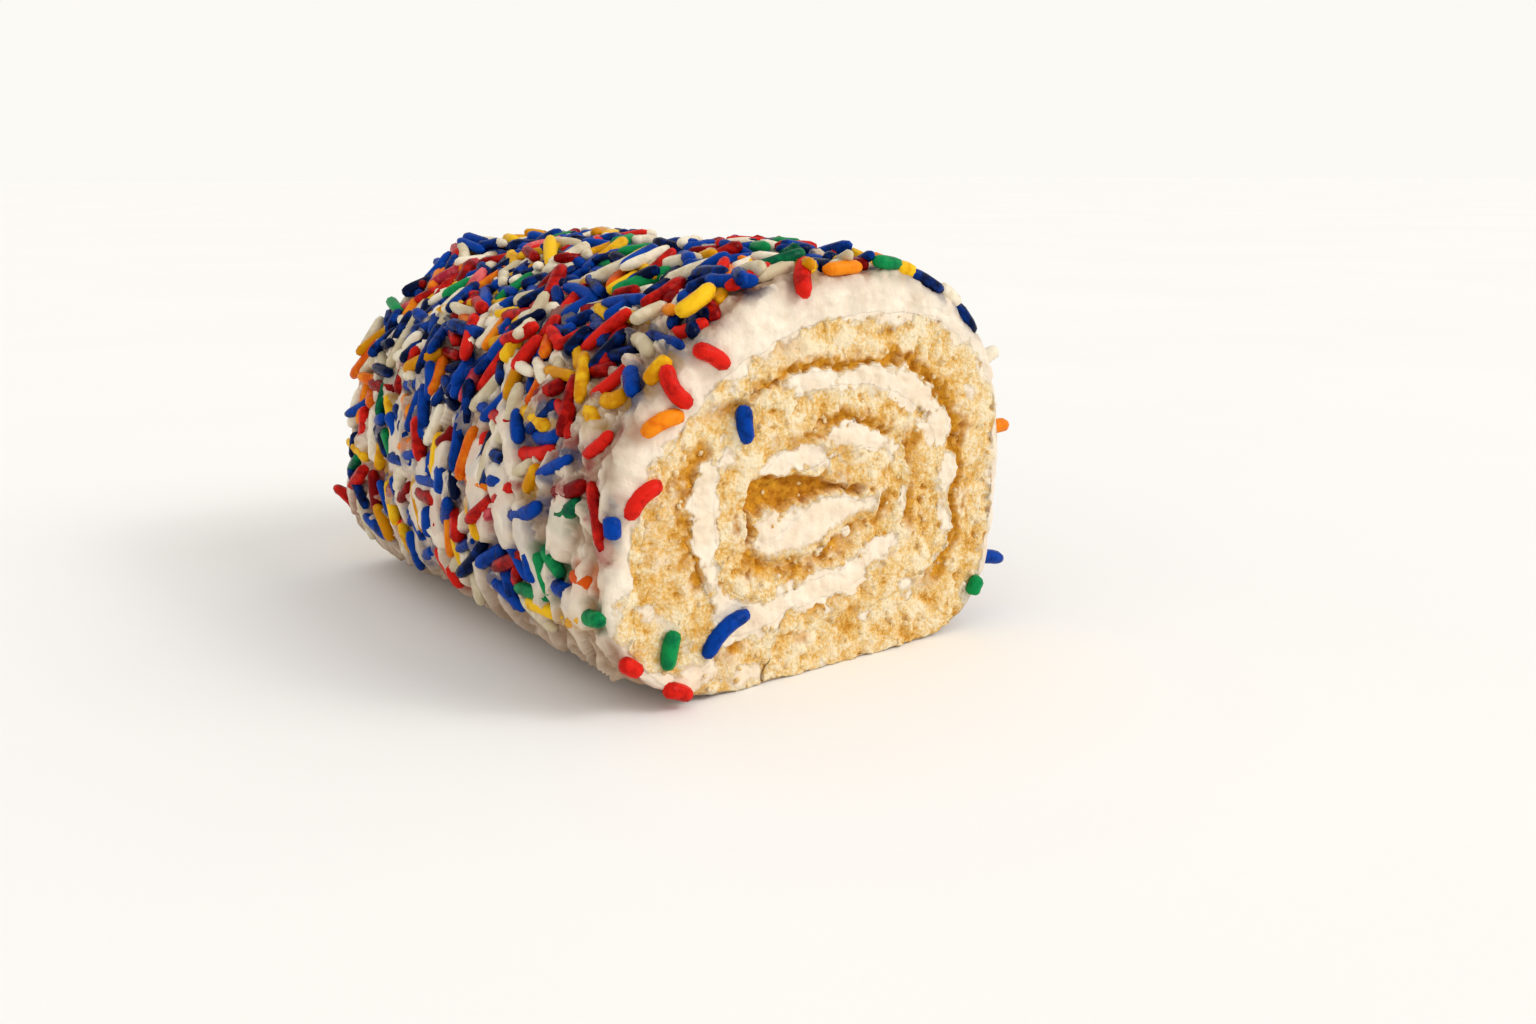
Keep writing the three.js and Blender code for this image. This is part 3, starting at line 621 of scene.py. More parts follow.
def gap_beside(points, angle, past):
    """How deep and how brown the gap at the cream's outer face is, each from 0 to 1. past is how far
    beyond that face each point is, in mm."""
    gape = along(GAPES, angle) + GAPE_VARIES * lumps(points, GAPE_SIZE, 43)
    into = past - np.maximum(along(CREAM_SHOWS, angle), LEAST_CREAM) - GAP_FOLLOWS * wander(points)
    ragged = into + GAP_RAGGED * layered(points, RAGGED_SIZE, 41, 3)
    opened = smooth_step(*GAP_START, into) * smooth_step(*GAPE_EASE, gape)
    return opened * (1 - smooth_step(*GAP_END, ragged)), opened * (1 - smooth_step(*SKIN_END, ragged))


def frosting_shows(points, angle):
    """How far the frosting is smeared over the sponge, in mm."""
    return along(FROSTING_SHOWS, np.mod(angle, 360)) + summed(points, FROSTING_EDGE)


def finished_cut(points, creamy, gap, skin):
    """Height of the cut, and the values that its material reads."""
    core, sunken, fold = core_shape(points)
    gap = np.maximum(gap * (1 - fold), sunken)
    skin = np.maximum(skin * (1 - fold), sunken)
    # Gold patches: partly the crumb's own colour, partly painted shade.
    gold_and_shade = patches(points, GOLD_AND_SHADE_PATCHES) * (GOLD_MEAN + GOLD_VARIES * lumps(points, GOLD_SIZE, 46))
    creamy = mix(creamy, core, fold)
    height, crumb = cut_height(points, creamy)
    height = height - mix(GAP_DEPTH, RECESS_DEPTH, sunken) * gap - GOLD_DEPTH * gold_and_shade
    # Painted shade: the lower the crumb stands, the darker gold it is painted, on top of random tone.
    hollow = HOLLOW_MEAN - crumb + HOLLOW_VARIES * lumps(points, HOLLOW_SIZE, 44)
    return height, {
        "hollow": np.clip(hollow, 0, 1),
        "brown": np.clip(np.maximum(skin, gold_and_shade), 0, 1),
        "creamy": creamy - BARED * np.maximum(gap, skin),
    }


def shape_sponge(points, angle, inner_gap, outer_gap):
    outer_turn = angle > SHEET_STEP[1]
    beyond = np.where(outer_turn, frosting_shows(points, angle), along(CREAM_SHOWS, angle + 360))
    creamy = smeared(points, np.maximum(beyond - outer_gap, along(CREAM_SHOWS, angle) - inner_gap))
    return finished_cut(points, creamy, *gap_beside(points, angle, inner_gap))


sheet_angles = even_angles(SHEET_START, SHEET_END, CRUMB_GRID, sheet_faces, np.linspace(*SHEET_STEP, 40))
sponge = make_band("sponge_crumb", sheet_angles, sponge_shares, sheet_faces, shape_sponge)
print("sponge:", triangles_of(sponge), "triangles,", round(volume_of(sponge), 1), "cm3")

# %% [markdown]
# ## The cream
# The cream is the same kind of band as the sponge, along the same line. Where the sheet has torn away
# from it its edge is left standing, a little rounded.

# %% Cream
CREAM_GRID = 0.19
CREAM_COLUMNS = 18
cream_shares = np.linspace(0, 1, CREAM_COLUMNS)


def shape_cream(points, angle, inner_gap, outer_gap):
    creamy = smeared(points, along(CREAM_SHOWS, angle) + np.minimum(inner_gap, outer_gap))
    return finished_cut(points, creamy, *gap_beside(points, angle, -outer_gap))


cream_angles = even_angles(CREAM_START, CREAM_END, CREAM_GRID, cream_faces)
cream = make_band("cream_filling", cream_angles, cream_shares, cream_faces, shape_cream)
print("cream:", triangles_of(cream), "triangles,", round(volume_of(cream), 1), "cm3")

# %% [markdown]
# ## Where the sugar strands lie
# The roll was turned in strands, so they lie flat on the frosting at every angle, half sunk. The first
# ones are given one by one, near the front end. The rest are drawn by the same seeded rule that places the
# strands of the imported model: a place is drawn, and kept if it lies clear of the earlier ones. Keeping to
# that rule puts every strand where its solid is.

# %% Rule for the strands
STRAND_SEED = 7
STRAND_SHOULDER = 0.37
STRAND_LENGTH = 7.0
STRAND_LENGTH_SPREAD = 2.4
STRAND_COUNT = 202
STRAND_BEND = 0.5
STRAND_TILT = 10
STRAND_PROUD = 0.35
STRAND_SPACING = 2.3
STRAND_THINNING = 0.9
THINNING = (45, 75)
STRAND_CLEARANCE = 1.6
STRAND_TRIES = 20000
STRAND_SPAN = (-24, 210)
STRAND_END_MARGIN = 3.2
BARE_BELOW, BARE_BACK = 50, 13
EVEN_PLACES = 720
FINE_STEPS = 1440
FROSTING_LUMP = 0.22
LUMP_ANGLE, LUMP_LENGTH, LUMP_SEED = 13, 6.5, 17
BASE_SMOOTH = 4


def plane_noise(u, v, seed):
    """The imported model's own noise over a plane, so that the strands ride on the same lumps."""
    i, j = np.floor(u), np.floor(v)
    su, sv = smooth_step(0, 1, u - i), smooth_step(0, 1, v - j)

    def corner(a, b):
        wave = np.sin(a * 127.1 + b * 311.7 + seed * 74.7) * 43758.5453
        return 2 * (wave - np.floor(wave)) - 1

    return mix(mix(corner(i, j), corner(i + 1, j), su), mix(corner(i, j + 1), corner(i + 1, j + 1), su), sv)


def lump_height(angle, y):
    """How far the lumpy frosting stands out of the smooth outline."""
    lump = plane_noise(np.mod(angle + 450, 360) / LUMP_ANGLE, y / LUMP_LENGTH, LUMP_SEED)
    thick = FROSTING_THIN + FROSTING_EXTRA * crested(angle)
    return FROSTING_LUMP * thick * lump * smooth_step(0, BASE_SMOOTH, outline(angle)[..., 1])


def packed_draws(seed, count):
    """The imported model's repeatable draws from 0 to 1."""
    low = 0xFFFFFFFF
    state = (seed + 0x6D2B79F5 * np.arange(1, count + 1, dtype=np.uint64)) & low
    bits = ((state ^ (state >> np.uint64(15))) * (state | np.uint64(1))) & low
    bits = ((bits + (((bits ^ (bits >> np.uint64(7))) * (bits | np.uint64(61))) & low)) & low) ^ bits
    return ((bits ^ (bits >> np.uint64(14))) & low) / 2.0**32


def lay_on_roll(angle, y, height, heading, tilt):
    """Middle, direction and normal of strands lying on the roll."""
    out = outwards(angle)
    flat = outline(angle) + out * np.asarray(height)[:, None]
    normal = np.stack([out[:, 0], np.zeros(len(angle)), out[:, 1]], axis=1)
    side = np.array([0.0, 1.0, 0.0])
    turned = side * np.cos(heading)[:, None] + np.cross(normal, side) * np.sin(heading)[:, None]
    ahead = turned * np.cos(tilt)[:, None] + normal * np.sin(tilt)[:, None]
    normal = normal * np.cos(tilt)[:, None] - turned * np.sin(tilt)[:, None]
    return np.stack([flat[:, 0], y, flat[:, 1]], axis=1), ahead, normal


fine_angles = np.linspace(0, 360, FINE_STEPS + 1)
fine_lengths = np.linalg.norm(np.diff(outline(fine_angles), axis=0), axis=1)
reach_round = np.concatenate([[0], np.cumsum(fine_lengths)])
even_places = np.interp(reach_round[-1] * np.arange(EVEN_PLACES) / EVEN_PLACES, reach_round, fine_angles)
print("the roll is", reach_round[-1].round(1), "mm round")

# %% [markdown]
# ## Setting the strands
# Each listed strand has its roll angle, its distance from the front end, its heading, its length and
# its colour. Every colour of sugar becomes one piece, so here each strand only gets the name of its
# colour.

# %% Listed strands
HAND_SET = [
    (-15, 6, 25, 6, "yellow"), (-12, 2, 5, 3.4, "green"), (-9, 9.1, 170, 4.2, "blue"),
    (-5, 5.2, 0, 4.2, "orange"), (-4, 11.9, 150, 5, "green"), (0, 16.9, 20, 7.5, "blue"),
    (2, 22.4, 33, 5.8, "red"), (3, 8.9, 26, 5, "green"), (4, 3.3, 118, 8, "red"),
    (7, 9.1, 17, 6.7, "red"), (7, 16.8, 62, 4, "yellow"), (9, 24.1, 0, 3.4, "blue"),
    (11, 12.6, 26, 7, "blue"), (12, 18, 12, 8, "red"), (17, 22.2, 125, 4.5, "blue"),
    (18, 5.2, 41, 5, "red"), (20, 19.7, 170, 7.5, "yellow"), (22, 13.3, 147, 7, "red"),
    (24, 8.6, 150, 4, "yellow"), (26, 22, 85, 3.4, "orange"), (27, 18.5, 30, 5, "red"),
    (29, 6.5, 20, 3.8, "yellow"), (31, 25.2, 120, 6.5, "blue"), (33, 8.4, 56, 6.2, "red"),
    (34, 4.8, 140, 4.5, "blue"), (35, 12.4, 12, 5, "red"), (35, 21.3, 135, 6, "white"),
    (38, 18.5, 150, 6, "yellow"), (38, 1.9, 80, 3.6, "yellow"), (40, 11.9, 10, 7, "blue"),
    (43, 26.3, 175, 8.5, "blue"), (44, 7.7, 160, 5.5, "white"), (46, 5, 175, 8, "blue"),
    (52, 25.8, 15, 6.5, "red"), (55, 8, 125, 6, "blue"), (56, 17.4, 170, 4, "pink"),
    (61, 12.5, 130, 7.5, "red"), (63, 4.7, 140, 5, "yellow"), (70, 19, 122, 9, "blue"),
    (74, 8.4, 135, 5.4, "pink"), (88, 1.1, 90, 5.5, "orange"), (100, 1, 90, 4.2, "green"),
    (114, 1.1, 90, 6.2, "blue"), (134, 1.1, 90, 5.5, "blue"),
]


def set_strands():
    """Rows of (roll angle, y, heading, length, bend, tilt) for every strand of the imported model."""
    angle, y, heading, length = np.array([row[:4] for row in HAND_SET]).T
    bends = (np.arange(len(angle)) % 2) * STRAND_BEND
    laid = np.column_stack([angle, y - HALF, np.radians(heading), length, bends, 0 * bends])
    draws = packed_draws(STRAND_SEED, 6 * STRAND_TRIES).reshape(-1, 6)
    angle = even_places[(draws[:, 0] * EVEN_PLACES).astype(int)]
    angle = np.where(angle > 360 + STRAND_SPAN[0], angle - 360, angle)
    y = (draws[:, 1] - 0.5) * (ROLL_LENGTH - 2 * STRAND_END_MARGIN)
    length = STRAND_LENGTH + (draws[:, 3] - 0.5) * STRAND_LENGTH_SPREAD
    bend = STRAND_BEND * np.maximum(0, 2 * draws[:, 4] - 1)
    tilt = np.radians(STRAND_TILT) * draws[:, 5] ** 2
    drawn = np.column_stack([angle, y, draws[:, 2] * np.pi, length, bend, tilt])
    bare = (angle < BARE_BELOW) & (y < BARE_BACK - HALF)
    return laid, drawn[~bare & (angle < STRAND_SPAN[1])]


def keep_clear(rows, marks, spacing, wanted):
    """The first wanted rows whose marks lie clear of all earlier ones, and all marks so far."""
    middle, ahead, _ = lay_on_roll(rows[:, 0], rows[:, 1], np.zeros(len(rows)), rows[:, 2], rows[:, 5])
    shares = np.array([-STRAND_SHOULDER, 0, STRAND_SHOULDER])
    own = middle[:, None] + ahead[:, None] * (rows[:, 3, None] * shares)[:, :, None]
    kept = []
    for n in range(len(rows)):
        if len(kept) >= wanted:
            break
        if own[n, :, 2].min() < STRAND_CLEARANCE:
            continue
        if len(marks) and np.linalg.norm(marks[:, None] - own[n], axis=2).min() < spacing[n]:
            continue
        kept.append(n)
        marks = np.concatenate([marks, own[n]])
    return kept, marks


laid, drawn = set_strands()
laid_kept, marks = keep_clear(laid, np.empty((0, 3)), np.zeros(len(laid)), len(laid))
wide = STRAND_SPACING + STRAND_THINNING * smooth_step(*THINNING, np.abs(drawn[:, 0] - 90))
drawn_kept, marks = keep_clear(drawn, marks, wide, STRAND_COUNT - len(laid_kept))
first_layer = np.concatenate([laid[laid_kept], drawn[drawn_kept]])
print("strands of the packed model:", len(laid_kept), "by hand and", len(drawn_kept), "drawn")

# %% [markdown]
# ## The strands on top of those
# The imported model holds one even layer. On the real roll more strands lie between and across them, many
# of them broken. They are drawn in the same way, closer together and shorter: mostly on top, and in
# clumps down the sides. They lie a little deeper or higher than the first layer.

# %% Second layer
EXTRA_SEED = 12
EXTRA_TRIES = 30000
EXTRA_COUNT = 880
EXTRA_SPACING = 0.9
EXTRA_SPREAD_OUT = 0.4
EXTRA_LENGTH = (3.6, 8.2)
EXTRA_END_MARGIN = 2.6
EXTRA_BEND = 0.9
EXTRA_TILT = 20
MM_PER_DEGREE = 0.46
CLUMP_SIZE, CLUMP_PULL = 9, 1.2
CROWD_MIDDLE, CROWD_WIDTH = 85, (38, 92)
SUGARS = ["blue", "red", "yellow", "white", "orange", "green", "pink"]
SHARES = [0.41, 0.225, 0.14, 0.12, 0.055, 0.025, 0.025]
THICK_LOW, THICK_HIGH, THICK_ON_FACE = 1.4, 1.95, 1.9
RIM_BARE_ABOVE, RIM_BARE_BACK = 98, 6


def crowded(angle):
    """1 on the top of the roll, where the strands lie thickest, falling to 0 down its sides."""
    return 1 - smooth_step(*CROWD_WIDTH, np.abs(angle - CROWD_MIDDLE))


def draw_extras(random):
    """Rows like those of set_strands, crowding towards the top."""
    angle = even_places[random.integers(0, EVEN_PLACES, EXTRA_TRIES)]
    angle = np.where(angle > 360 + STRAND_SPAN[0], angle - 360, angle)
    y = random.uniform(-1, 1, EXTRA_TRIES) * (HALF - EXTRA_END_MARGIN)
    length = random.uniform(*EXTRA_LENGTH, EXTRA_TRIES)
    bend = EXTRA_BEND * np.maximum(0, random.uniform(-1, 1, EXTRA_TRIES)) ** 2
    tilt = np.radians(EXTRA_TILT) * random.uniform(-1, 1, EXTRA_TRIES) ** 3
    heading = random.uniform(0, np.pi, EXTRA_TRIES)
    clump = lumps(np.stack([angle * MM_PER_DEGREE, y], axis=1), CLUMP_SIZE, 81)
    wanted = random.uniform(0, 1, EXTRA_TRIES) < 0.5 + mix(CLUMP_PULL * clump, 0.5, crowded(angle))
    bare = (angle < BARE_BELOW) & (y < BARE_BACK - HALF)
    bare = bare | (angle > RIM_BARE_ABOVE) & (y < RIM_BARE_BACK - HALF)
    inside = angle < STRAND_SPAN[1]
    return np.column_stack([angle, y, heading, length, bend, tilt])[wanted & inside & ~bare]


random = np.random.default_rng(EXTRA_SEED)
extras = draw_extras(random)
extra_spacing = EXTRA_SPACING + EXTRA_SPREAD_OUT * (1 - crowded(extras[:, 0]))
extra_kept, marks = keep_clear(extras, marks, extra_spacing, EXTRA_COUNT)
second_layer = extras[extra_kept]
print("second layer:", len(second_layer), "strands")

# %% [markdown]
# ## Strands on the rim and on the cut
# Some strands lie on the front face of the roll, or over the rounded rim of the frosting. Each is given
# by its middle on the face, its heading there, its length, its bend and its colour, and the rim's
# rounding says how far back it lies and which way it faces. Three more stand straight out of the roll.
# Then every strand gets its colour, thickness and shade. Too many red ones would be drawn on top, so
# every third of those becomes white.

# %% Rim and cut
RIM_THIN, RIM_THICK = 0.7, 2.6
ON_FACE = [
    (-14.6, 7.9, 34, 7.2, 1.0, "blue"), (-21.6, 7.1, 76, 4.4, 0.3, "green"),
    (-11.6, 30.3, 96, 4.3, 0.3, "blue"), (-24.7, 24.3, 38, 5.2, 0.9, "red"),
    (-27.4, 21.3, 90, 2.4, 0.0, "blue"), (-21.9, 31.8, 18, 5.0, 0.6, "orange"),
    (-20.3, 34.8, -62, 5.0, -0.9, "red"), (-15.6, 38.0, -28, 4.6, 0.3, "red"),
    (-15.1, 43.0, -108, 5.4, 0.5, "yellow"), (-2.8, 45.0, -104, 6.4, -0.5, "red"),
    (-20.6, 2.2, -24, 3.8, 0.3, "red"), (24.2, 5.6, 60, 2.4, 0.2, "green"),
    (-26.3, 6.3, -35, 2.8, 0.1, "red"), (12.4, 45.0, -15, 3.4, 0.2, "yellow"),
    (19.8, 41.6, -30, 4.0, 0.3, "white"),
]
LOWEST, HIGHEST = 0.1, 48.9
STICKING_OUT = [(195, 2.5, 2.4, 6.6, "blue"), (150, 1.8, 0.9, 4.6, "white"), (170, 2.0, 1.2, 4.4, "orange")]
BRIGHT_SHADE = 0.8
EVERY_RED = 3
FACE_PROUD, FACE_LEAN = 0.5, 0.02
SIDE_DEPTHS, TOP_DEPTHS = (-0.4, 0.4), (-0.1, 1.1)


def rim_radius(angle):
    """How widely the frosting's rim is rounded: most where the coat is thickest."""
    return mix(RIM_THIN, RIM_THICK, crested(angle))


def lay_on_face(x, z, heading):
    """Middle, direction and normal of a strand on the front face or over its rounded rim."""
    ring = np.linspace(0, 360, EVEN_PLACES + 1)
    nearest = np.linalg.norm(outline(ring) - (x, z), axis=1).argmin()
    out = outwards(ring[nearest : nearest + 1])[0]
    radius = rim_radius(ring[nearest])
    over = np.clip(1 - np.dot(outline(ring[nearest]) - (x, z), out) / radius, 0, 1)
    back = HALF - radius * (1 - np.sqrt(1 - over**2))
    normal = unit(np.array([out[0] * over, -np.sqrt(1 - over**2) - FACE_LEAN, out[1] * over]))
    ahead = np.array([np.cos(np.radians(heading)), 0, np.sin(np.radians(heading))])
    ahead = unit(ahead - normal * np.dot(ahead, normal))
    return np.array([x, -back, z]) + FACE_PROUD * normal, ahead, normal


rolled = np.concatenate([first_layer, second_layer])
height = lump_height(rolled[:, 0], rolled[:, 1]) + STRAND_PROUD
crowd = crowded(second_layer[:, 0])
depths = [random.uniform(*span, len(crowd)) for span in (SIDE_DEPTHS, TOP_DEPTHS)]
height[len(first_layer) :] += mix(*depths, crowd)
middle, ahead, normal = lay_on_roll(rolled[:, 0], rolled[:, 1], height, rolled[:, 2], rolled[:, 5])
on_face = [lay_on_face(*row[:3]) for row in ON_FACE]
place, back, out = np.array([row[:3] for row in STICKING_OUT]).T
standing = lay_on_roll(place, back - HALF, out, 0 * out, 0 * out + np.pi / 2)
lying = enumerate((middle, ahead, normal))
middle, ahead, normal = (
    np.concatenate([group, [face[k] for face in on_face], standing[k]]) for k, group in lying
)
length = np.concatenate([rolled[:, 3], [row[3] for row in ON_FACE + STICKING_OUT]])
bend = np.concatenate([rolled[:, 4], [row[4] for row in ON_FACE], 0 * out])
kind = random.choice(len(SUGARS), len(middle), p=SHARES)
kind[: len(laid_kept)] = [SUGARS.index(HAND_SET[n][4]) for n in laid_kept]
kind[len(rolled) :] = [SUGARS.index(row[-1]) for row in ON_FACE + STICKING_OUT]
drawn_kind = kind[len(laid_kept) : len(rolled)]
on_top = crowded(rolled[len(laid_kept) :, 0]) > 0.5
top_reds = np.flatnonzero((drawn_kind == SUGARS.index("red")) & on_top)
drawn_kind[top_reds[::EVERY_RED]] = SUGARS.index("white")
thick = random.uniform(THICK_LOW, THICK_HIGH, len(middle))
thick[len(rolled) :] = THICK_ON_FACE
shade = random.uniform(0, 1, len(middle))
shade[len(rolled) :] = BRIGHT_SHADE
upright = np.abs(ahead[:, 2]) * length / 2 + thick / 2 * np.sqrt(1 - ahead[:, 2] ** 2)
middle[:, 2] = np.clip(middle[:, 2], upright + LOWEST, HIGHEST - upright)
print("strands of each colour:", {name: int((kind == n).sum()) for n, name in enumerate(SUGARS)})

# %% [markdown]
# ## The frosting
# The coat is one closed ring: a fine grid that runs along the outside, round both rims, down each cut
# face and back inside along the sponge. It was pressed and pulled as the roll was turned in its strands,
# so it stands in torn slabs and ridges that run round the roll. In places it has been pulled right over
# the strands in bands: the largest are listed, as lines with a half width, and the rest come from
# noise. Dye has bled into it next to the strands, mixed with a brown that stands for both dirt and painted
# shade, and dimmed as painted shade where the strands crowd, so every point also keeps a colour and how
# much of that has got there. Its low places and its base are painted darker, as shade.

# %% Frosting coat
COAT_GRID = 0.32
COAT_BASE_GRID = 1.5
COAT_ANGLES = (-54, 306)
AXIS_POINTS = 9
RIM_STEPS = 7
FACE_STEPS = 16
COAT_LUMPS = [(0.4, 3.6, 61), (0.26, 1.7, 62), (0.1, 0.9, 63)]
COAT_PUSH, COAT_PUSH_SIZE = 0.8, 2.4
DRAWN_OUT = (0.45, 1, 0.45)
RIDGES = [(1, 2.8, 64), (0.5, 1.5, 66)]
RIDGE_HEIGHT, RIDGE_SHARPNESS, RIDGE_EASE = 0.9, 2.6, (0.5, 1)
SLAB_HEIGHT, SLAB_SIZE, SLAB_EASE = 0.8, 2.1, (-0.04, 0.06)
FLAKE_HEIGHT, FLAKE_SIZE, FLAKE_EASE = 0.6, 2.2, (0.22, 0.34)
CALM_SHARE, CALM_SIZE, CALM_EASE = 0.35, 7, (-0.2, 0.35)
COAT_SUNK = 0.3
STRAND_FREE = 0.1
BESIDE = (0.8, 2.0)
LAP_LOW, LAP_HIGH, LAP_SIZE, LAP_EASE = 0.9, 1.8, 2.4, (0.06, 0.4)
LAP_DRAWN_OUT, LAP_LESS_ON_TOP = (0.7, 1, 0.7), 0.35
MOAT, MOAT_AT, MOAT_WIDTH = 0.4, 1.25, 0.4
TALLEST = 1.7
RIM_CALM = 3.0
PULL_HEIGHT = 1.25
PULL_LUMPS = [(0.35, 1.8, 84), (0.12, 0.8, 85)]
# Bled dye beside each strand; where strands crowd on top it is dimmed and browned as painted shade.
STAIN_AND_SHADE_SHARE, STAIN_AND_SHADE_NEAR, STAIN_AND_SHADE_REACH = (0.8, 0.9), 0.8, (2.4, 3.0)
STAIN_DIMMED_AS_SHADE, STAIN_AND_SHADE_RAGGED, STAIN_AND_SHADE_RAGGED_SIZE, STAIN_DIRT_AND_SHADE_SHARE = (0.8, 0.4), 0.9, 2.0, 0.18
COVERED, BARE_UNDER, COVER_VARIES, COVER_SIZE = 2, 1.9, 0.8, 3.0
# The low value is painted shade: the coat is darker where it lies low and towards its base.
PAINTED_SHADE_IN_HOLLOWS, PAINTED_SHADE_TOWARDS_BASE, BASE_PAINTED_SHADE = (0.65, -0.5), (13, 1), 0.85
RIM_CLEAN, PULL_CLEAN = 0.85, 0.72
HOLLOW_GAIN = 1.1
BAND_DRAWN_OUT, BAND_SIZE, BAND_EASE = (0.3, 1, 0.3), 2.6, (0.27, 0.37)
PULL_RAGGED, PULL_RAGGED_SIZE, PULL_EDGE = 0.5, 2.0, 0.25
PULLS = [
    (34, 31.8, 22, 28.7, 0.7), (22, 28.7, 15, 23.2, 0.8), (15, 23.2, 8, 21.0, 0.8),
    (4, 23.8, -1, 21.5, 2.0), (0, 17.8, -7, 15.0, 0.9), (-7, 15.0, -21, 15.0, 1.0),
    (6, 40.2, -1, 41.8, 1.3), (-1, 41.8, -12, 41.0, 1.2), (-12, 41.0, -14, 33.8, 1.0),
    (8, 31.2, -2, 28.0, 1.8), (32, 65.8, 25, 67.0, 1.0), (25, 67.0, 14, 64.2, 1.0),
    (13, 56.8, 2, 55.8, 1.5), (0, 45.5, -7, 48.8, 1.2), (4, 9.5, -1, 10.5, 1.2), (-5, 5.2, -14, 4.5, 1.3),
]


def paint(red, green, blue):
    """A colour given as it shows on a screen, 0 to 255, as the linear values that Blender wants."""
    screen = np.array([red, green, blue]) / 255
    return tuple(np.where(screen < 0.04045, screen / 12.92, ((screen + 0.055) / 1.055) ** 2.4))


SUGAR_COLOURS = {
    "blue": (paint(0, 12, 48), paint(0, 62, 158)),
    "red": (paint(120, 2, 4), paint(220, 34, 22)),
    "yellow": (paint(208, 136, 4), paint(246, 194, 30)),
    "white": (paint(206, 190, 156), paint(242, 230, 206)),
    "orange": (paint(212, 80, 8), paint(242, 140, 22)),
    "green": (paint(0, 80, 54), paint(18, 142, 76)),
    "pink": (paint(168, 38, 56), paint(232, 112, 112)),
}
# A brown mixed into the bled dye, standing both for dirt and for painted shade between strands.
STAIN_DIRT_AND_SHADE = paint(100, 62, 38)


def coat_angles():
    fine = np.linspace(*COAT_ANGLES, 3601)
    step = np.linalg.norm(np.diff(outline(fine), axis=0), axis=1)
    spacing = mix(COAT_GRID, COAT_BASE_GRID, under_roll(fine[:-1]))
    reach = np.concatenate([[0], np.cumsum(step / spacing)])
    return np.interp(np.linspace(0, reach[-1], int(reach[-1]) + 1)[:-1], reach, fine)


def coat_rows():
    """Each row of the ring as (side, turn over the rim, share of the cut face, y as a share)."""
    front = [(-1, 1, share, 0) for share in np.linspace(1, 0, FACE_STEPS, endpoint=False)]
    front += [(-1, turn, 0, 0) for turn in np.linspace(1, 0, RIM_STEPS, endpoint=False)]
    outer = [(np.sign(y), 0, 0, y) for y in np.linspace(-1, 1, int(ROLL_LENGTH / COAT_GRID) - 8)]
    return np.array(front + outer + [(1, *row[1:]) for row in front[::-1]])


def coat_relief(points):
    """Soft lumps, with torn slabs and ridges that run round the roll."""
    pushed = points + COAT_PUSH * shifts(points, COAT_PUSH_SIZE, (68, 69, 70))
    stretched = pushed * DRAWN_OUT
    ridge = 0
    for share, size, seed in RIDGES:
        crest = 1 - RIDGE_SHARPNESS * np.abs(lumps(stretched, size, seed))
        ridge = ridge + share * smooth_step(*RIDGE_EASE, crest)
    slab = smooth_step(*SLAB_EASE, lumps(stretched, SLAB_SIZE, 67)) - 0.5
    flake = smooth_step(*FLAKE_EASE, lumps(pushed, FLAKE_SIZE, 79))
    calm = mix(CALM_SHARE, 1, smooth_step(*CALM_EASE, lumps(points, CALM_SIZE, 65)))
    torn = calm * (RIDGE_HEIGHT * ridge + SLAB_HEIGHT * slab) + FLAKE_HEIGHT * flake
    return summed(points, COAT_LUMPS) + torn - COAT_SUNK


def pulled(points, angle):
    """Where frosting has been pulled over the strands, in bands that run round the roll, from 0 to 1."""
    bands = smooth_step(*BAND_EASE, lumps(points * BAND_DRAWN_OUT, BAND_SIZE, 82)) * (1 - crowded(angle))
    plane = np.stack([angle * MM_PER_DEGREE, points[:, 1] + HALF], axis=1)
    ragged = PULL_RAGGED * lumps(points, PULL_RAGGED_SIZE, 83)
    for start_angle, start_back, end_angle, end_back, half_width in PULLS:
        start = np.array([start_angle * MM_PER_DEGREE, start_back])
        step = np.array([end_angle * MM_PER_DEGREE, end_back]) - start
        share = np.clip((plane - start) @ step / (step @ step), 0, 1)
        away = np.linalg.norm(plane - start - share[:, None] * step, axis=1) + ragged
        bands = np.maximum(bands, 1 - smooth_step(half_width - PULL_EDGE, half_width + PULL_EDGE, away))
    return bands


along_axis = length[:, None] * np.linspace(-0.45, 0.45, AXIS_POINTS)
axis_points = (middle[:, None] + ahead[:, None] * along_axis[:, :, None]).reshape(-1, 3)
strand_finder = kdtree.KDTree(len(axis_points))
for n, point in enumerate(axis_points):
    strand_finder.insert(point, n)
strand_finder.balance()


def nearest_strand(points):
    """How far off each point's nearest strand is, and which one that is."""
    found = [strand_finder.find(point)[1:] for point in points]
    return np.array([f[1] for f in found]), np.array([f[0] for f in found]) // AXIS_POINTS


def dye_and_shade(points, angle, distance, which, blocked):
    """Bled into the frosting beside each strand, as a colour and how much of it there is. Where the strands
    crowd on top it is dimmed and browned, which is painted shade between them.
    """
    crowd = crowded(angle)
    colours = np.array([np.mean(SUGAR_COLOURS[name], axis=0) for name in SUGARS])[kind[which]]
    colours = mix(colours, np.array(STAIN_DIRT_AND_SHADE), STAIN_DIRT_AND_SHADE_SHARE) * mix(*STAIN_DIMMED_AS_SHADE, crowd)[:, None]
    ragged = distance + STAIN_AND_SHADE_RAGGED * layered(points, STAIN_AND_SHADE_RAGGED_SIZE, 75, 2)
    reached = 1 - smooth_step(STAIN_AND_SHADE_NEAR, mix(*STAIN_AND_SHADE_REACH, crowd), ragged)
    amount = mix(*STAIN_AND_SHADE_SHARE, crowd) * reached * (kind[which] != SUGARS.index("white")) * blocked
    return np.concatenate([colours, amount[:, None]], axis=1)


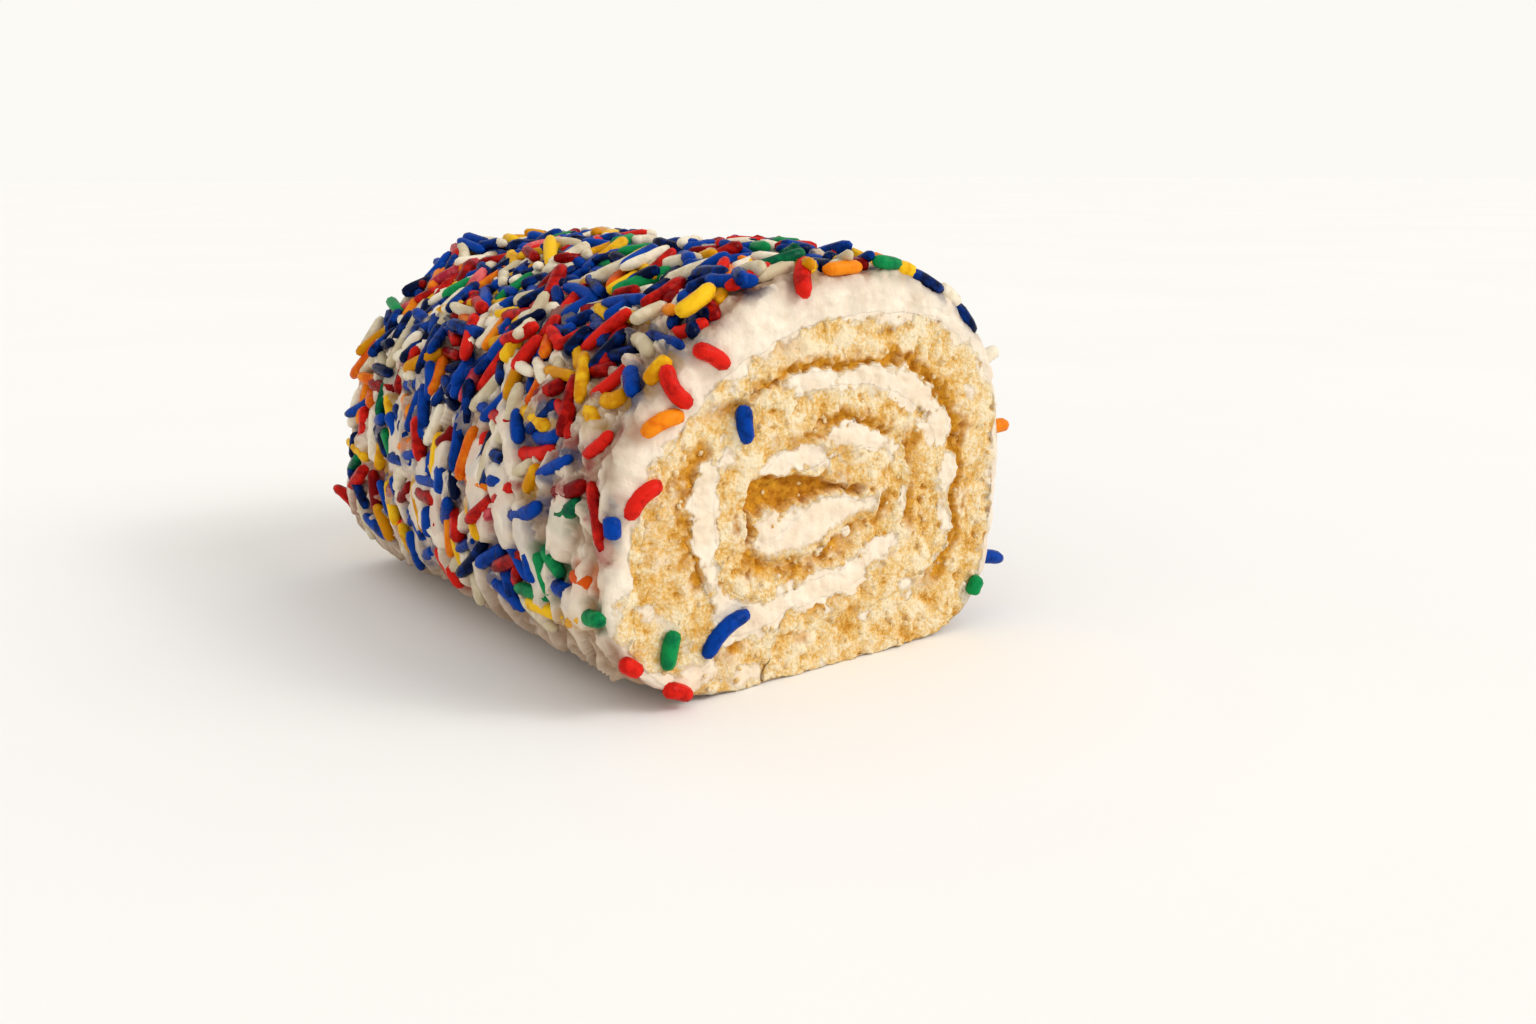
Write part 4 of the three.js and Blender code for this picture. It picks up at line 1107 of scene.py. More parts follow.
def stood_out(smooth, angle, distance, room):
    """How far the frosting stands out of the smooth roll: between the strands, over some of them and at
    their feet. room is how far off the rim each point is."""
    crowd = crowded(angle)
    lap = smooth_step(*LAP_EASE, lumps(smooth * LAP_DRAWN_OUT, LAP_SIZE, 71)) * (1 - LAP_LESS_ON_TOP * crowd)
    beside = 1 - smooth_step(*BESIDE, distance)
    own = coat_relief(smooth)
    own = mix(own, np.minimum(own, STRAND_FREE), beside * (1 - lap))
    own = own + mix(LAP_LOW, LAP_HIGH, crowd) * beside * lap
    own = own - MOAT * np.exp(-(((distance - MOAT_AT) / MOAT_WIDTH) ** 2)) * (1 - lap)
    pull = pulled(smooth, angle)
    own = mix(own, PULL_HEIGHT + summed(smooth, PULL_LUMPS), pull)
    return TALLEST * np.tanh(own / TALLEST) * mix(0.5, 1, smooth_step(0, RIM_CALM, room)), pull


def make_coat(name):
    angles, rows = coat_angles(), coat_rows()
    angle = np.tile(angles, len(rows))
    side, turn, share, y_share = np.repeat(rows, len(angles), axis=0).T
    deep, radius = frosting_thickness(angle) + LAYER_OVERLAP, rim_radius(angle)
    arc = turn * np.arccos(1 - np.minimum(1, deep / radius))
    inset = mix(radius * (1 - np.cos(arc)), deep, share)
    y = np.where(turn > 0, side * (HALF - radius * (1 - np.sin(arc))), y_share * (HALF - radius))
    out, flat = outwards(angle), outline(angle)
    plane = flat - out * inset[:, None]
    smooth = np.stack([plane[:, 0], y, plane[:, 1]], axis=1)
    above = np.stack([out[:, 0], 0 * y, out[:, 1]], axis=1) * STRAND_PROUD
    distance, which = nearest_strand(smooth + above)
    own, pull = stood_out(smooth, angle, distance, HALF - radius - np.abs(y))
    relief = lump_height(angle, y) + smooth_step(0, BASE_SMOOTH, flat[:, 1]) * own
    cut = on_cut(plane, -1)
    cut[:, 1] *= -side
    on_face = np.sin(arc) ** 2
    creamy = smeared(cut, frosting_shows(cut, angle) + (1 - share) * deep)
    face, crumb = cut_height(cut, creamy)
    moved = plane + out * (relief * np.cos(arc) ** 2)[:, None] + drag(cut) * on_face[:, None]
    points = np.stack([moved[:, 0], y + side * face * on_face, np.maximum(moved[:, 1], 0)], axis=1)
    outside = COVERED - BARE_UNDER * under_roll(angle) + COVER_VARIES * layered(smooth, COVER_SIZE, 78, 2)
    # Painted shade: darker where the coat stands low between slabs and strands, and towards the base.
    low = smooth_step(*PAINTED_SHADE_IN_HOLLOWS, own) + BASE_PAINTED_SHADE * smooth_step(*PAINTED_SHADE_TOWARDS_BASE, flat[:, 1])
    values = {
        "stain_and_shade": dye_and_shade(smooth, angle, distance, which, (1 - RIM_CLEAN * turn) * (1 - PULL_CLEAN * pull)),
        "creamy": mix(outside, creamy, on_face),
        # Painted shade: crumb that stands low on the cut is painted a darker gold.
        "hollow": np.clip(HOLLOW_MEAN - HOLLOW_GAIN * crumb, 0, 1),
        "low": np.clip(low, 0, 1) * (1 - on_face),
    }
    quads = grid_quads(len(rows), len(angles), wrap_rows=True, wrap_columns=True)
    inside_wall = np.arange(len(quads)) >= (len(rows) - 1) * len(angles)
    return make_piece(name, points, quads, values, inside_wall)


frosting = make_coat("frosting_coat")
print("frosting:", triangles_of(frosting), "triangles,", round(volume_of(frosting), 1), "cm3")

# %% [markdown]
# ## A helper for node trees
# Geometry Nodes and materials are both trees of nodes. Building one in a script is easier to read when a
# node, its settings and what feeds it stand on one line. Sockets are named, or numbered where names
# repeat.


# %% Node helper
SOCKET_KINDS = {float: "Float", int: "Int", tuple: "Color"}


def add_node(tree, kind, feeds=None, **settings):
    """A new node. feeds maps input names or numbers to a value, or to the output socket that feeds them."""
    node = tree.nodes.new(kind)
    for name, value in settings.items():
        setattr(node, name, value)
    for name, value in (feeds or {}).items():
        socket = node.inputs[name]
        if isinstance(value, bpy.types.NodeSocket):
            tree.links.new(value, socket)
        else:
            socket.default_value = value
    return node


def outputs_of(tree):
    """A helper that makes a node and gives the output that the next one needs."""

    def made(kind, feeds=None, output=0, **settings):
        return add_node(tree, kind, feeds, **settings).outputs[output]

    return made


def new_tree(name, kind, inputs, outputs):
    """A node group and its two end nodes. Each input has a default, or the kind of its socket where it has
    none, and each output has its kind."""
    tree = bpy.data.node_groups.new(name, kind)
    for label, given in inputs.items():
        socket_kind = given if isinstance(given, str) else SOCKET_KINDS[type(given)]
        socket = tree.interface.new_socket(label, in_out="INPUT", socket_type="NodeSocket" + socket_kind)
        if socket_kind != given:
            socket.default_value = given
    for label, socket_kind in outputs.items():
        tree.interface.new_socket(label, in_out="OUTPUT", socket_type="NodeSocket" + socket_kind)
    return tree, tree.nodes.new("NodeGroupInput"), tree.nodes.new("NodeGroupOutput")


def set_input(modifier, label, value):
    """Sets a modifier's input by the identifier of its socket."""
    for socket in modifier.node_group.interface.items_tree:
        if socket.item_type == "SOCKET" and socket.in_out == "INPUT" and socket.name == label:
            modifier[socket.identifier] = value
            return
    raise KeyError(label)


def grown(name, seedbed, tree, settings):
    """What a Geometry Nodes tree makes of a piece, as a plain mesh object."""
    modifier = seedbed.modifiers.new(tree.name, "NODES")
    modifier.node_group = tree
    for label, value in settings.items():
        set_input(modifier, label, value)
    depsgraph = bpy.context.evaluated_depsgraph_get()
    mesh = bpy.data.meshes.new_from_object(seedbed.evaluated_get(depsgraph))
    seedbed.modifiers.remove(modifier)
    bpy.data.objects.remove(seedbed)
    mesh.name = name
    piece = bpy.data.objects.new(name, mesh)
    bpy.context.scene.collection.objects.link(piece)
    return piece


print("node helpers ready")

# %% [markdown]
# ## Finishes
# Four effects come back in the finishes. Mottling mixes two colours in soft patches. Crumb colour goes
# from pale straw on the grains to gold in the hollows, partly random tone and partly painted shade. A
# ragged border turns the creamy value into cream or crumb, with noise finer than the mesh. And a roughness
# of two sizes tilts the surface a little. Each is a node group, so that a material only sets its own
# values. They take their place from the object's own coordinates, in metres, so a scale of 1000 is a patch
# of 1 mm.


# %% Shared effects
# Crumb colours from pale straw to deep gold; the hollow value that picks among them holds painted shade.
STRAW = [
    (0.1, paint(249, 230, 194)), (0.42, paint(238, 204, 142)), (0.75, paint(226, 172, 80)),
    (1.0, paint(200, 134, 36)),
]
FINE_CRUMB_SCALE, BROAD_CRUMB_SCALE = 2600.0, 380.0
BORDER_SCALE, BORDER_WANDER = 900.0, 1.1


def clamped_range(tree, value, low, high, to_low=0.0, to_high=1.0):
    feeds = {"Value": value, "From Min": low, "From Max": high, "To Min": to_low, "To Max": to_high}
    return add_node(tree, "ShaderNodeMapRange", feeds).outputs[0]


def maths_node(tree, operation, first, second=0.0):
    return add_node(tree, "ShaderNodeMath", {0: first, 1: second}, operation=operation).outputs[0]


def noise_node(tree, place, scale, detail, roughness=0.5):
    feeds = {"Vector": place, "Scale": scale, "Detail": detail, "Roughness": roughness}
    return add_node(tree, "ShaderNodeTexNoise", feeds).outputs[0]


def blended(tree, share, under, over):
    """One colour laid over another, by a share from 0 to 1."""
    return add_node(tree, "ShaderNodeMix", {0: share, 6: under, 7: over}, data_type="RGBA").outputs[2]


def mottling_group():
    inputs = {"Place": "Vector", "Scale": 500.0, "Dark": (0, 0, 0, 1), "Light": (1, 1, 1, 1), "Lean": 0.0}
    outputs = {"Color": "Color", "Value": "Float"}
    tree, start, end = new_tree("soft_mottling", "ShaderNodeTree", inputs, outputs)
    noise = noise_node(tree, start.outputs["Place"], start.outputs["Scale"], 4.0, 0.6)
    leaned = maths_node(tree, "ADD", clamped_range(tree, noise, 0.34, 0.66), start.outputs["Lean"])
    leaned.node.use_clamp = True
    mixed = blended(tree, leaned, start.outputs["Dark"], start.outputs["Light"])
    tree.links.new(mixed, end.inputs["Color"])
    tree.links.new(leaned, end.inputs["Value"])
    return tree


def crumb_group():
    inputs, outputs = {"Place": "Vector", "Hollow": 0.4}, {"Color": "Color", "Value": "Float"}
    tree, start, end = new_tree("crumb_colour", "ShaderNodeTree", inputs, outputs)
    fine = noise_node(tree, start.outputs["Place"], FINE_CRUMB_SCALE, 4.0, 0.75)
    broad = noise_node(tree, start.outputs["Place"], BROAD_CRUMB_SCALE, 7.0, 0.75)
    uneven = maths_node(tree, "ADD", clamped_range(tree, fine, 0.2, 0.8, -0.6, 0.6), start.outputs["Hollow"])
    value = maths_node(tree, "ADD", uneven, clamped_range(tree, broad, 0.2, 0.8, -0.5, 0.5))
    ramp = add_node(tree, "ShaderNodeValToRGB", {0: value})
    stops = ramp.color_ramp.elements
    stops[0].position, stops[1].position = STRAW[0][0], STRAW[-1][0]
    for position, _ in STRAW[1:-1]:
        stops.new(position)
    for stop, (_, colour) in zip(stops, STRAW):
        stop.color = (*colour, 1)
    tree.links.new(ramp.outputs[0], end.inputs["Color"])
    tree.links.new(value, end.inputs["Value"])
    return tree


def border_group():
    inputs, outputs = {"Place": "Vector", "Creamy": 0.0}, {"Share": "Float"}
    tree, start, end = new_tree("ragged_border", "ShaderNodeTree", inputs, outputs)
    noise = noise_node(tree, start.outputs["Place"], BORDER_SCALE, 6.0, 0.75)
    wandered = clamped_range(tree, noise, 0.2, 0.8, -BORDER_WANDER, BORDER_WANDER)
    uneven = maths_node(tree, "ADD", start.outputs["Creamy"], wandered)
    tree.links.new(clamped_range(tree, uneven, -0.4, 0.4), end.inputs["Share"])
    return tree


def roughness_group():
    inputs = {"Place": "Vector", "Bubble Scale": 1500.0, "Grain Scale": 5000.0, "Bubbles": 0.6}
    tree, start, end = new_tree("two_size_roughness", "ShaderNodeTree", inputs, {"Height": "Float"})
    feeds = {"Vector": start.outputs["Place"], "Scale": start.outputs["Bubble Scale"]}
    cells = add_node(tree, "ShaderNodeTexVoronoi", feeds, feature="SMOOTH_F1").outputs["Distance"]
    grain = noise_node(tree, start.outputs["Place"], start.outputs["Grain Scale"], 3.0)
    feeds = {0: start.outputs["Bubbles"], 2: grain, 3: cells}
    mixed = add_node(tree, "ShaderNodeMix", feeds, data_type="FLOAT")
    tree.links.new(mixed.outputs[0], end.inputs["Height"])
    return tree


MOTTLING, CRUMB_COLOUR = mottling_group(), crumb_group()
RAGGED_BORDER, ROUGHNESS = border_group(), roughness_group()


def add_group(tree, group, feeds):
    """Places a node group, and feeds it as add_node does. Three values are taken as an opaque colour."""
    feeds = {name: (*value, 1) if isinstance(value, tuple) else value for name, value in feeds.items()}
    return add_node(tree, "ShaderNodeGroup", feeds, node_tree=group)


def start_material(name):
    """A material with its tree, its shader and the object's own coordinates."""
    material = bpy.data.materials.new(name)
    material.use_nodes = True
    tree = material.node_tree
    place = add_node(tree, "ShaderNodeTexCoord").outputs["Object"]
    return material, tree, tree.nodes["Principled BSDF"], place


def attribute(tree, name, output="Fac"):
    return add_node(tree, "ShaderNodeAttribute", attribute_name=name).outputs[output]


def mottled(tree, place, scale, dark, light, lean=0.0):
    feeds = {"Place": place, "Scale": scale, "Dark": dark, "Light": light, "Lean": lean}
    group = add_group(tree, MOTTLING, feeds)
    return group.outputs["Color"], group.outputs["Value"]


def bumped(tree, shader, place, bubble_scale, grain_scale, bubbles, depth, share=1.0):
    """Feeds the shader's normal with the two-size roughness, this deep in mm, or a share of that."""
    feeds = {"Place": place, "Bubble Scale": bubble_scale, "Grain Scale": grain_scale, "Bubbles": bubbles}
    height = maths_node(tree, "MULTIPLY", add_group(tree, ROUGHNESS, feeds).outputs["Height"], share)
    bump = add_node(tree, "ShaderNodeBump", {"Height": height, "Distance": depth * MM})
    tree.links.new(bump.outputs[0], shader.inputs["Normal"])


def varied_roughness(tree, shader, value, low, high):
    tree.links.new(clamped_range(tree, value, 0.0, 1.0, low, high), shader.inputs["Roughness"])


print("node groups:", [group.name for group in (MOTTLING, CRUMB_COLOUR, RAGGED_BORDER, ROUGHNESS)])

# %% [markdown]
# ## Sponge, cream and frosting
# Fresh sponge is pale straw where it stands out and golden in its hollows, and that gold in the hollows
# is painted shade. The browned skin is golden brown, and some gold patches beside it are painted shade.
# Cream and frosting let a little light through, which softens them. The frosting is painted darker in its
# low places and towards its base, as shade, and its bled dye is dimmed as painted shade where strands
# crowd. All three share the ragged border, so each of them can show the other's colour.

# %% Crumb, cream and frosting materials
SKIN_DARK, SKIN_LIGHT = paint(178, 108, 0), paint(232, 166, 40)
CREAM_SHADE, CREAM_WHITE = paint(238, 217, 189), paint(247, 232, 211)
FROSTING_SHADE, FROSTING_WHITE = paint(228, 210, 187), paint(246, 233, 213)
# The darker brown is painted shade, laid into the frosting's low places and towards its base.
FROSTING_PAINTED_SHADE, PAINTED_SHADE_SHARE = paint(150, 112, 78), 0.85
SKIN_PATCH, CREAM_PATCH = 700, 300
CRUMB_ROUGH, CREAM_ROUGH = 0.9, 0.55
SHINE = 0.3
GLOW, GLOW_REACH, GLOW_COLOURS = 0.12, 1.0, (1.0, 0.7, 0.4)
CUT_BUMPS, CREAM_BUMP = (2400, 6500, 0.6, 0.35), 0.3


def cut_material(name, shade, white, stained_and_shaded=False):
    """Crumb and cream in one finish. The piece's creamy value says which of them shows."""
    material, tree, shader, place = start_material(name)
    # The hollow value paints the crumb's low places a darker gold, as painted shade.
    crumb = add_group(tree, CRUMB_COLOUR, {"Place": place, "Hollow": attribute(tree, "hollow")})
    colour = crumb.outputs["Color"]
    if not stained_and_shaded:
        skin, _ = mottled(tree, place, SKIN_PATCH, SKIN_DARK, SKIN_LIGHT)
        # The brown value is the sheet's browned skin, plus the painted shade of some gold patches.
        colour = blended(tree, attribute(tree, "brown"), colour, skin)
    border = add_group(tree, RAGGED_BORDER, {"Place": place, "Creamy": attribute(tree, "creamy")})
    creamy = border.outputs["Share"]
    cream_colour, mottles = mottled(tree, place, CREAM_PATCH, shade, white)
    colour = blended(tree, creamy, colour, cream_colour)
    if stained_and_shaded:
        # Painted shade: the low value darkens the frosting in its low places and towards its base.
        low = maths_node(tree, "MULTIPLY", attribute(tree, "low"), PAINTED_SHADE_SHARE)
        colour = blended(tree, low, colour, (*FROSTING_PAINTED_SHADE, 1))
        # The stain is bled dye, dimmed and browned as painted shade where strands crowd.
        patchy = clamped_range(tree, mottles, 0, 0.6)
        amount = maths_node(tree, "MULTIPLY", attribute(tree, "stain_and_shade", "Alpha"), patchy)
        colour = blended(tree, amount, colour, attribute(tree, "stain_and_shade", "Color"))
    tree.links.new(colour, shader.inputs["Base Color"])
    varied_roughness(tree, shader, creamy, CRUMB_ROUGH, CREAM_ROUGH)
    shader.inputs["Specular IOR Level"].default_value = SHINE
    shader.inputs["Subsurface Weight"].default_value = GLOW
    shader.inputs["Subsurface Radius"].default_value = GLOW_COLOURS
    shader.inputs["Subsurface Scale"].default_value = GLOW_REACH * MM
    bumped(tree, shader, place, *CUT_BUMPS, clamped_range(tree, creamy, 0, 1, 1, CREAM_BUMP))
    return material


def dress(piece, material):
    piece.data.materials.clear()
    piece.data.materials.append(material)
    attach(piece, "root")
    return piece


sponge_finish = cut_material("sponge_crumb", CREAM_SHADE, CREAM_WHITE)
cream_finish = cut_material("whipped_cream", CREAM_SHADE, CREAM_WHITE)
frosting_finish = cut_material("vanilla_frosting", FROSTING_SHADE, FROSTING_WHITE, stained_and_shaded=True)
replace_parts(dress(sponge, sponge_finish), "sponge")
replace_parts(dress(cream, cream_finish), "cream")
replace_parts(dress(frosting, frosting_finish), "frosting")
print("dressed:", [piece.name for piece in (sponge, cream, frosting)])

# %% [markdown]
# ## A sugar strand
# A strand is a short rope of sugar paste with blunt ends, gently bent, never quite even. One Geometry
# Nodes tree makes them all from points that carry each strand's direction, length, thickness and bend: a
# short line is set on each point, bent sideways, given a radius that falls to nothing at both ends, and
# skinned.

# %% Strand tree
STRAND_RINGS = 9
STRAND_SIDES = 8
BLUNTNESS = 6.0
UNEVENNESS = 0.0001
UNEVEN_SCALE = 620.0


def strand_tree_nodes():
    inputs = {
        "Geometry": "Geometry", "Rings": STRAND_RINGS, "Sides": STRAND_SIDES, "Bluntness": BLUNTNESS,
        "Unevenness": UNEVENNESS, "Seed": 1.0, "Material": "Material",
    }
    tree, start, end = new_tree("sugar_strand", "GeometryNodeTree", inputs, {"Geometry": "Geometry"})
    given, made = start.outputs, outputs_of(tree)

    def named(name, data_type="FLOAT"):
        return made("GeometryNodeInputNamedAttribute", {"Name": name}, data_type=data_type)

    def maths(operation, a, b=0.0):
        return maths_node(tree, operation, a, b)

    def scaled(vector, scale):
        return made("ShaderNodeVectorMath", {0: vector, "Scale": scale}, operation="SCALE")

    points = made("GeometryNodeMeshToPoints", {"Mesh": given["Geometry"]})
    line = made("GeometryNodeCurvePrimitiveLine", {"Start": (-0.5, 0, 0), "End": (0.5, 0, 0)})
    even = made("GeometryNodeResampleCurve", {"Curve": line, "Count": given["Rings"]})
    place = made("ShaderNodeSeparateXYZ", {0: made("GeometryNodeInputPosition")})
    closer = maths("MULTIPLY", maths("SINE", maths("MULTIPLY", place, np.pi)), 0.5)
    near_ends = made("ShaderNodeCombineXYZ", {0: closer})
    rings = made("GeometryNodeSetPosition", {"Geometry": even, "Position": near_ends})
    feeds = {0: named("normal", "FLOAT_VECTOR"), 1: named("ahead", "FLOAT_VECTOR")}
    turned = made("FunctionNodeAxesToRotation", feeds, primary_axis="Z", secondary_axis="X")
    size = made("ShaderNodeCombineXYZ", {0: named("length"), 1: 1.0, 2: 1.0})
    feeds = {"Points": points, "Instance": rings, "Rotation": turned, "Scale": size}
    placed = made("GeometryNodeRealizeInstances", {0: made("GeometryNodeInstanceOnPoints", feeds)})

    factor = made("GeometryNodeSplineParameter", output="Factor")
    along_strand = maths("SUBTRACT", maths("MULTIPLY", factor, 2.0), 1.0)
    sideways = maths("MULTIPLY", maths("POWER", along_strand, 2.0), named("bend"))
    offset = scaled(named("across", "FLOAT_VECTOR"), sideways)
    bent = made("GeometryNodeSetPosition", {"Geometry": placed, "Offset": offset})
    blunt = maths("SUBTRACT", 1.0, maths("POWER", maths("ABSOLUTE", along_strand), given["Bluntness"]))
    rounded = maths("POWER", maths("MAXIMUM", blunt, 0.0), 0.5)
    radius = maths("MULTIPLY", rounded, maths("MULTIPLY", named("thick"), 0.5))
    section = made("GeometryNodeCurvePrimitiveCircle", {"Resolution": given["Sides"], "Radius": 1.0})
    skin = made("GeometryNodeCurveToMesh", {"Curve": bent, "Profile Curve": section, "Scale": radius})
    closed = made("GeometryNodeMergeByDistance", {"Geometry": skin, "Distance": 1e-6})

    feeds = {"Scale": UNEVEN_SCALE, "W": given["Seed"]}
    uneven = made("ShaderNodeTexNoise", feeds, noise_dimensions="4D")
    height = maths("MULTIPLY", given["Unevenness"], 4.0)
    centred = maths("MULTIPLY", maths("SUBTRACT", uneven, 0.5), height)
    push = scaled(made("GeometryNodeInputNormal"), centred)
    pushed = made("GeometryNodeSetPosition", {"Geometry": closed, "Offset": push})
    smooth = made("GeometryNodeSetShadeSmooth", {"Geometry": pushed})
    whole = made("GeometryNodeRealizeInstances", {0: smooth})
    coloured = made("GeometryNodeSetMaterial", {"Geometry": whole, "Material": given["Material"]})
    tree.links.new(coloured, end.inputs[0])
    return tree


STRAND_TREE = strand_tree_nodes()
print("strand tree:", len(STRAND_TREE.nodes), "nodes")

# %% [markdown]
# ## Strands of every colour
# Sugar strands are dyed all through, and satin rather than glossy. No two of one colour are quite alike,
# so each strand carries its own shade between a dark and a light dye, and the dye is a little patchy
# along it.

# %% Strands
SHADE_LEAN = 1.3
DYE_PATCH = 620
SUGAR_ROUGH = (0.16, 0.34)
SUGAR_SHINE = 0.06
SUGAR_BUMPS = (1300, 4000, 0.5, 0.1)


def sugar_material(name, dark, light):
    material, tree, shader, place = start_material(name)
    own = maths_node(tree, "SUBTRACT", attribute(tree, "shade"), 0.5)
    lean = maths_node(tree, "MULTIPLY", own, SHADE_LEAN)
    colour, value = mottled(tree, place, DYE_PATCH, dark, light, lean)
    tree.links.new(colour, shader.inputs["Base Color"])
    varied_roughness(tree, shader, value, *SUGAR_ROUGH)
    shader.inputs["Specular IOR Level"].default_value = SUGAR_SHINE
    bumped(tree, shader, place, *SUGAR_BUMPS)
    return material


def make_strands(name, chosen, finish):
    """All strands of one colour as one piece."""
    values = {
        "ahead": ahead[chosen],
        "normal": normal[chosen],
        "across": np.cross(ahead[chosen], normal[chosen]),
        "length": length[chosen] * MM,
        "bend": bend[chosen] * MM,
        "thick": thick[chosen] * MM,
        "shade": shade[chosen],
    }
    seedbed = make_piece(name + "_points", middle[chosen], np.empty((0, 3)), values)
    return dress(grown(name, seedbed, STRAND_TREE, {"Material": finish}), finish)


for n, sugar in enumerate(SUGARS):
    finish = sugar_material("sugar_" + sugar, *SUGAR_COLOURS[sugar])
    piece = make_strands("strands_" + sugar, kind == n, finish)
    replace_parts(piece, "frosting")
    print(piece.name, triangles_of(piece), "triangles,", round(volume_of(piece), 2), "cm3")

# %% [markdown]
# ## Crumbs
# A knife leaves crumbs on a cut. They are scattered over both cut ends by a second Geometry Nodes tree,
# which picks places on the sponge's own faces where they face along the roll, and sets a small rough ball
# on each.

# %% Crumbs
CRUMBS_PER_SQUARE_METRE = 120000.0
CRUMB_SMALLEST, CRUMB_LARGEST = 0.00014, 0.0004
CRUMB_SEED, TURN_SEED = 5, 3
FULL_TURN = (6.28, 6.28, 6.28)
FACING_BAR = 0.6
CRUMB_UNEVENNESS, CRUMB_UNEVEN_SCALE = 0.0008, 1500.0
LOOSE_HOLLOW, LOOSE_ROUGH = 0.35, (0.8, 0.95)
LOOSE_BUMPS = (2300, 6000, 0.65, 0.4)


def crumb_tree_nodes():
    inputs = {
        "Geometry": "Geometry", "Crumbs per Square Metre": CRUMBS_PER_SQUARE_METRE,
        "Smallest": CRUMB_SMALLEST, "Largest": CRUMB_LARGEST, "Seed": CRUMB_SEED, "Material": "Material",
    }
    tree, start, end = new_tree("scattered_crumbs", "GeometryNodeTree", inputs, {"Geometry": "Geometry"})
    given, made = start.outputs, outputs_of(tree)
    facing = made("ShaderNodeSeparateXYZ", {0: made("GeometryNodeInputNormal")}, output=1)
    feeds = {0: maths_node(tree, "ABSOLUTE", facing), 1: FACING_BAR}
    on_cut_face = made("FunctionNodeCompare", feeds, operation="GREATER_THAN", data_type="FLOAT")
    feeds = {"Mesh": given["Geometry"], "Selection": on_cut_face, "Seed": given["Seed"]}
    feeds["Density"] = given["Crumbs per Square Metre"]
    spots = made("GeometryNodeDistributePointsOnFaces", feeds)
    ball = made("GeometryNodeMeshIcoSphere", {"Radius": 1.0, "Subdivisions": 1})
    feeds = {2: given["Smallest"], 3: given["Largest"], "Seed": given["Seed"]}
    size = made("FunctionNodeRandomValue", feeds, output=1, data_type="FLOAT")
    feeds = {0: (0, 0, 0), 1: FULL_TURN, "Seed": TURN_SEED}
    turn = made("FunctionNodeRandomValue", feeds, data_type="FLOAT_VECTOR")
    feeds = {"Points": spots, "Instance": ball, "Rotation": turn, "Scale": size}
    placed = made("GeometryNodeRealizeInstances", {0: made("GeometryNodeInstanceOnPoints", feeds)})
    rough = made("ShaderNodeTexNoise", {"Scale": CRUMB_UNEVEN_SCALE, "Detail": 1.0}, output=1)
    centred = made("ShaderNodeVectorMath", {0: rough, 1: (0.5, 0.5, 0.5)}, operation="SUBTRACT")
    push = made("ShaderNodeVectorMath", {0: centred, "Scale": CRUMB_UNEVENNESS}, operation="SCALE")
    pushed = made("GeometryNodeSetPosition", {"Geometry": placed, "Offset": push})
    smooth = made("GeometryNodeSetShadeSmooth", {"Geometry": pushed})
    whole = made("GeometryNodeRealizeInstances", {0: smooth})
    coloured = made("GeometryNodeSetMaterial", {"Geometry": whole, "Material": given["Material"]})
    tree.links.new(coloured, end.inputs[0])
    return tree


def crumb_material():
    material, tree, shader, place = start_material("loose_crumb")
    crumb = add_group(tree, CRUMB_COLOUR, {"Place": place, "Hollow": LOOSE_HOLLOW})
    tree.links.new(crumb.outputs["Color"], shader.inputs["Base Color"])
    varied_roughness(tree, shader, crumb.outputs["Value"], *LOOSE_ROUGH)
    bumped(tree, shader, place, *LOOSE_BUMPS)
    return material


crumb_finish = crumb_material()
crumb_bed = bpy.data.objects.new("crumb_bed", sponge.data.copy())
bpy.context.scene.collection.objects.link(crumb_bed)
crumbs = grown("crumbs", crumb_bed, crumb_tree_nodes(), {"Material": crumb_finish})
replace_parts(dress(crumbs, crumb_finish), "sponge")
print("crumbs:", triangles_of(crumbs), "triangles")

# %% [markdown]
# ## Camera
# The camera stands low, to the left of the front end and close to it, so that the cut face fills one half
# of the picture and the strands run away along the other.

# %% Camera
AIM = np.array([-8.054, -37.44, 20.059])
AZIMUTH, ELEVATION, ROLL = np.radians([-36.978, 14.236, -0.107])
DISTANCE = 148.166
LENS, SENSOR, NEAR_CLIP = 31.53, 36, 0.005
level = np.cos(ELEVATION)
back = np.array([np.sin(AZIMUTH) * level, -np.cos(AZIMUTH) * level, np.sin(ELEVATION)])
camera = bpy.data.objects.new("camera", bpy.data.cameras.new("camera"))
bpy.context.scene.collection.objects.link(camera)
camera.data.lens = LENS
camera.data.sensor_width = SENSOR
camera.data.clip_start = NEAR_CLIP
camera.location = Vector((AIM + back * DISTANCE) * MM)
camera.rotation_mode = "QUATERNION"
camera.rotation_quaternion = Vector(-back).to_track_quat("-Z", "Y") @ Quaternion((0, 0, 1), ROLL)
bpy.context.scene.camera = camera
print("camera at", [round(c, 3) for c in camera.location])

# %% [markdown]
# ## Light and floor
# A large soft lamp stands high at the front right, so that the cut face is bright and the side with the
# strands falls into a gentle shade. A smaller, sharper lamp in the same place gives the sugar its glints.
# A pale sky fills in the rest. The floor is plain and pale.


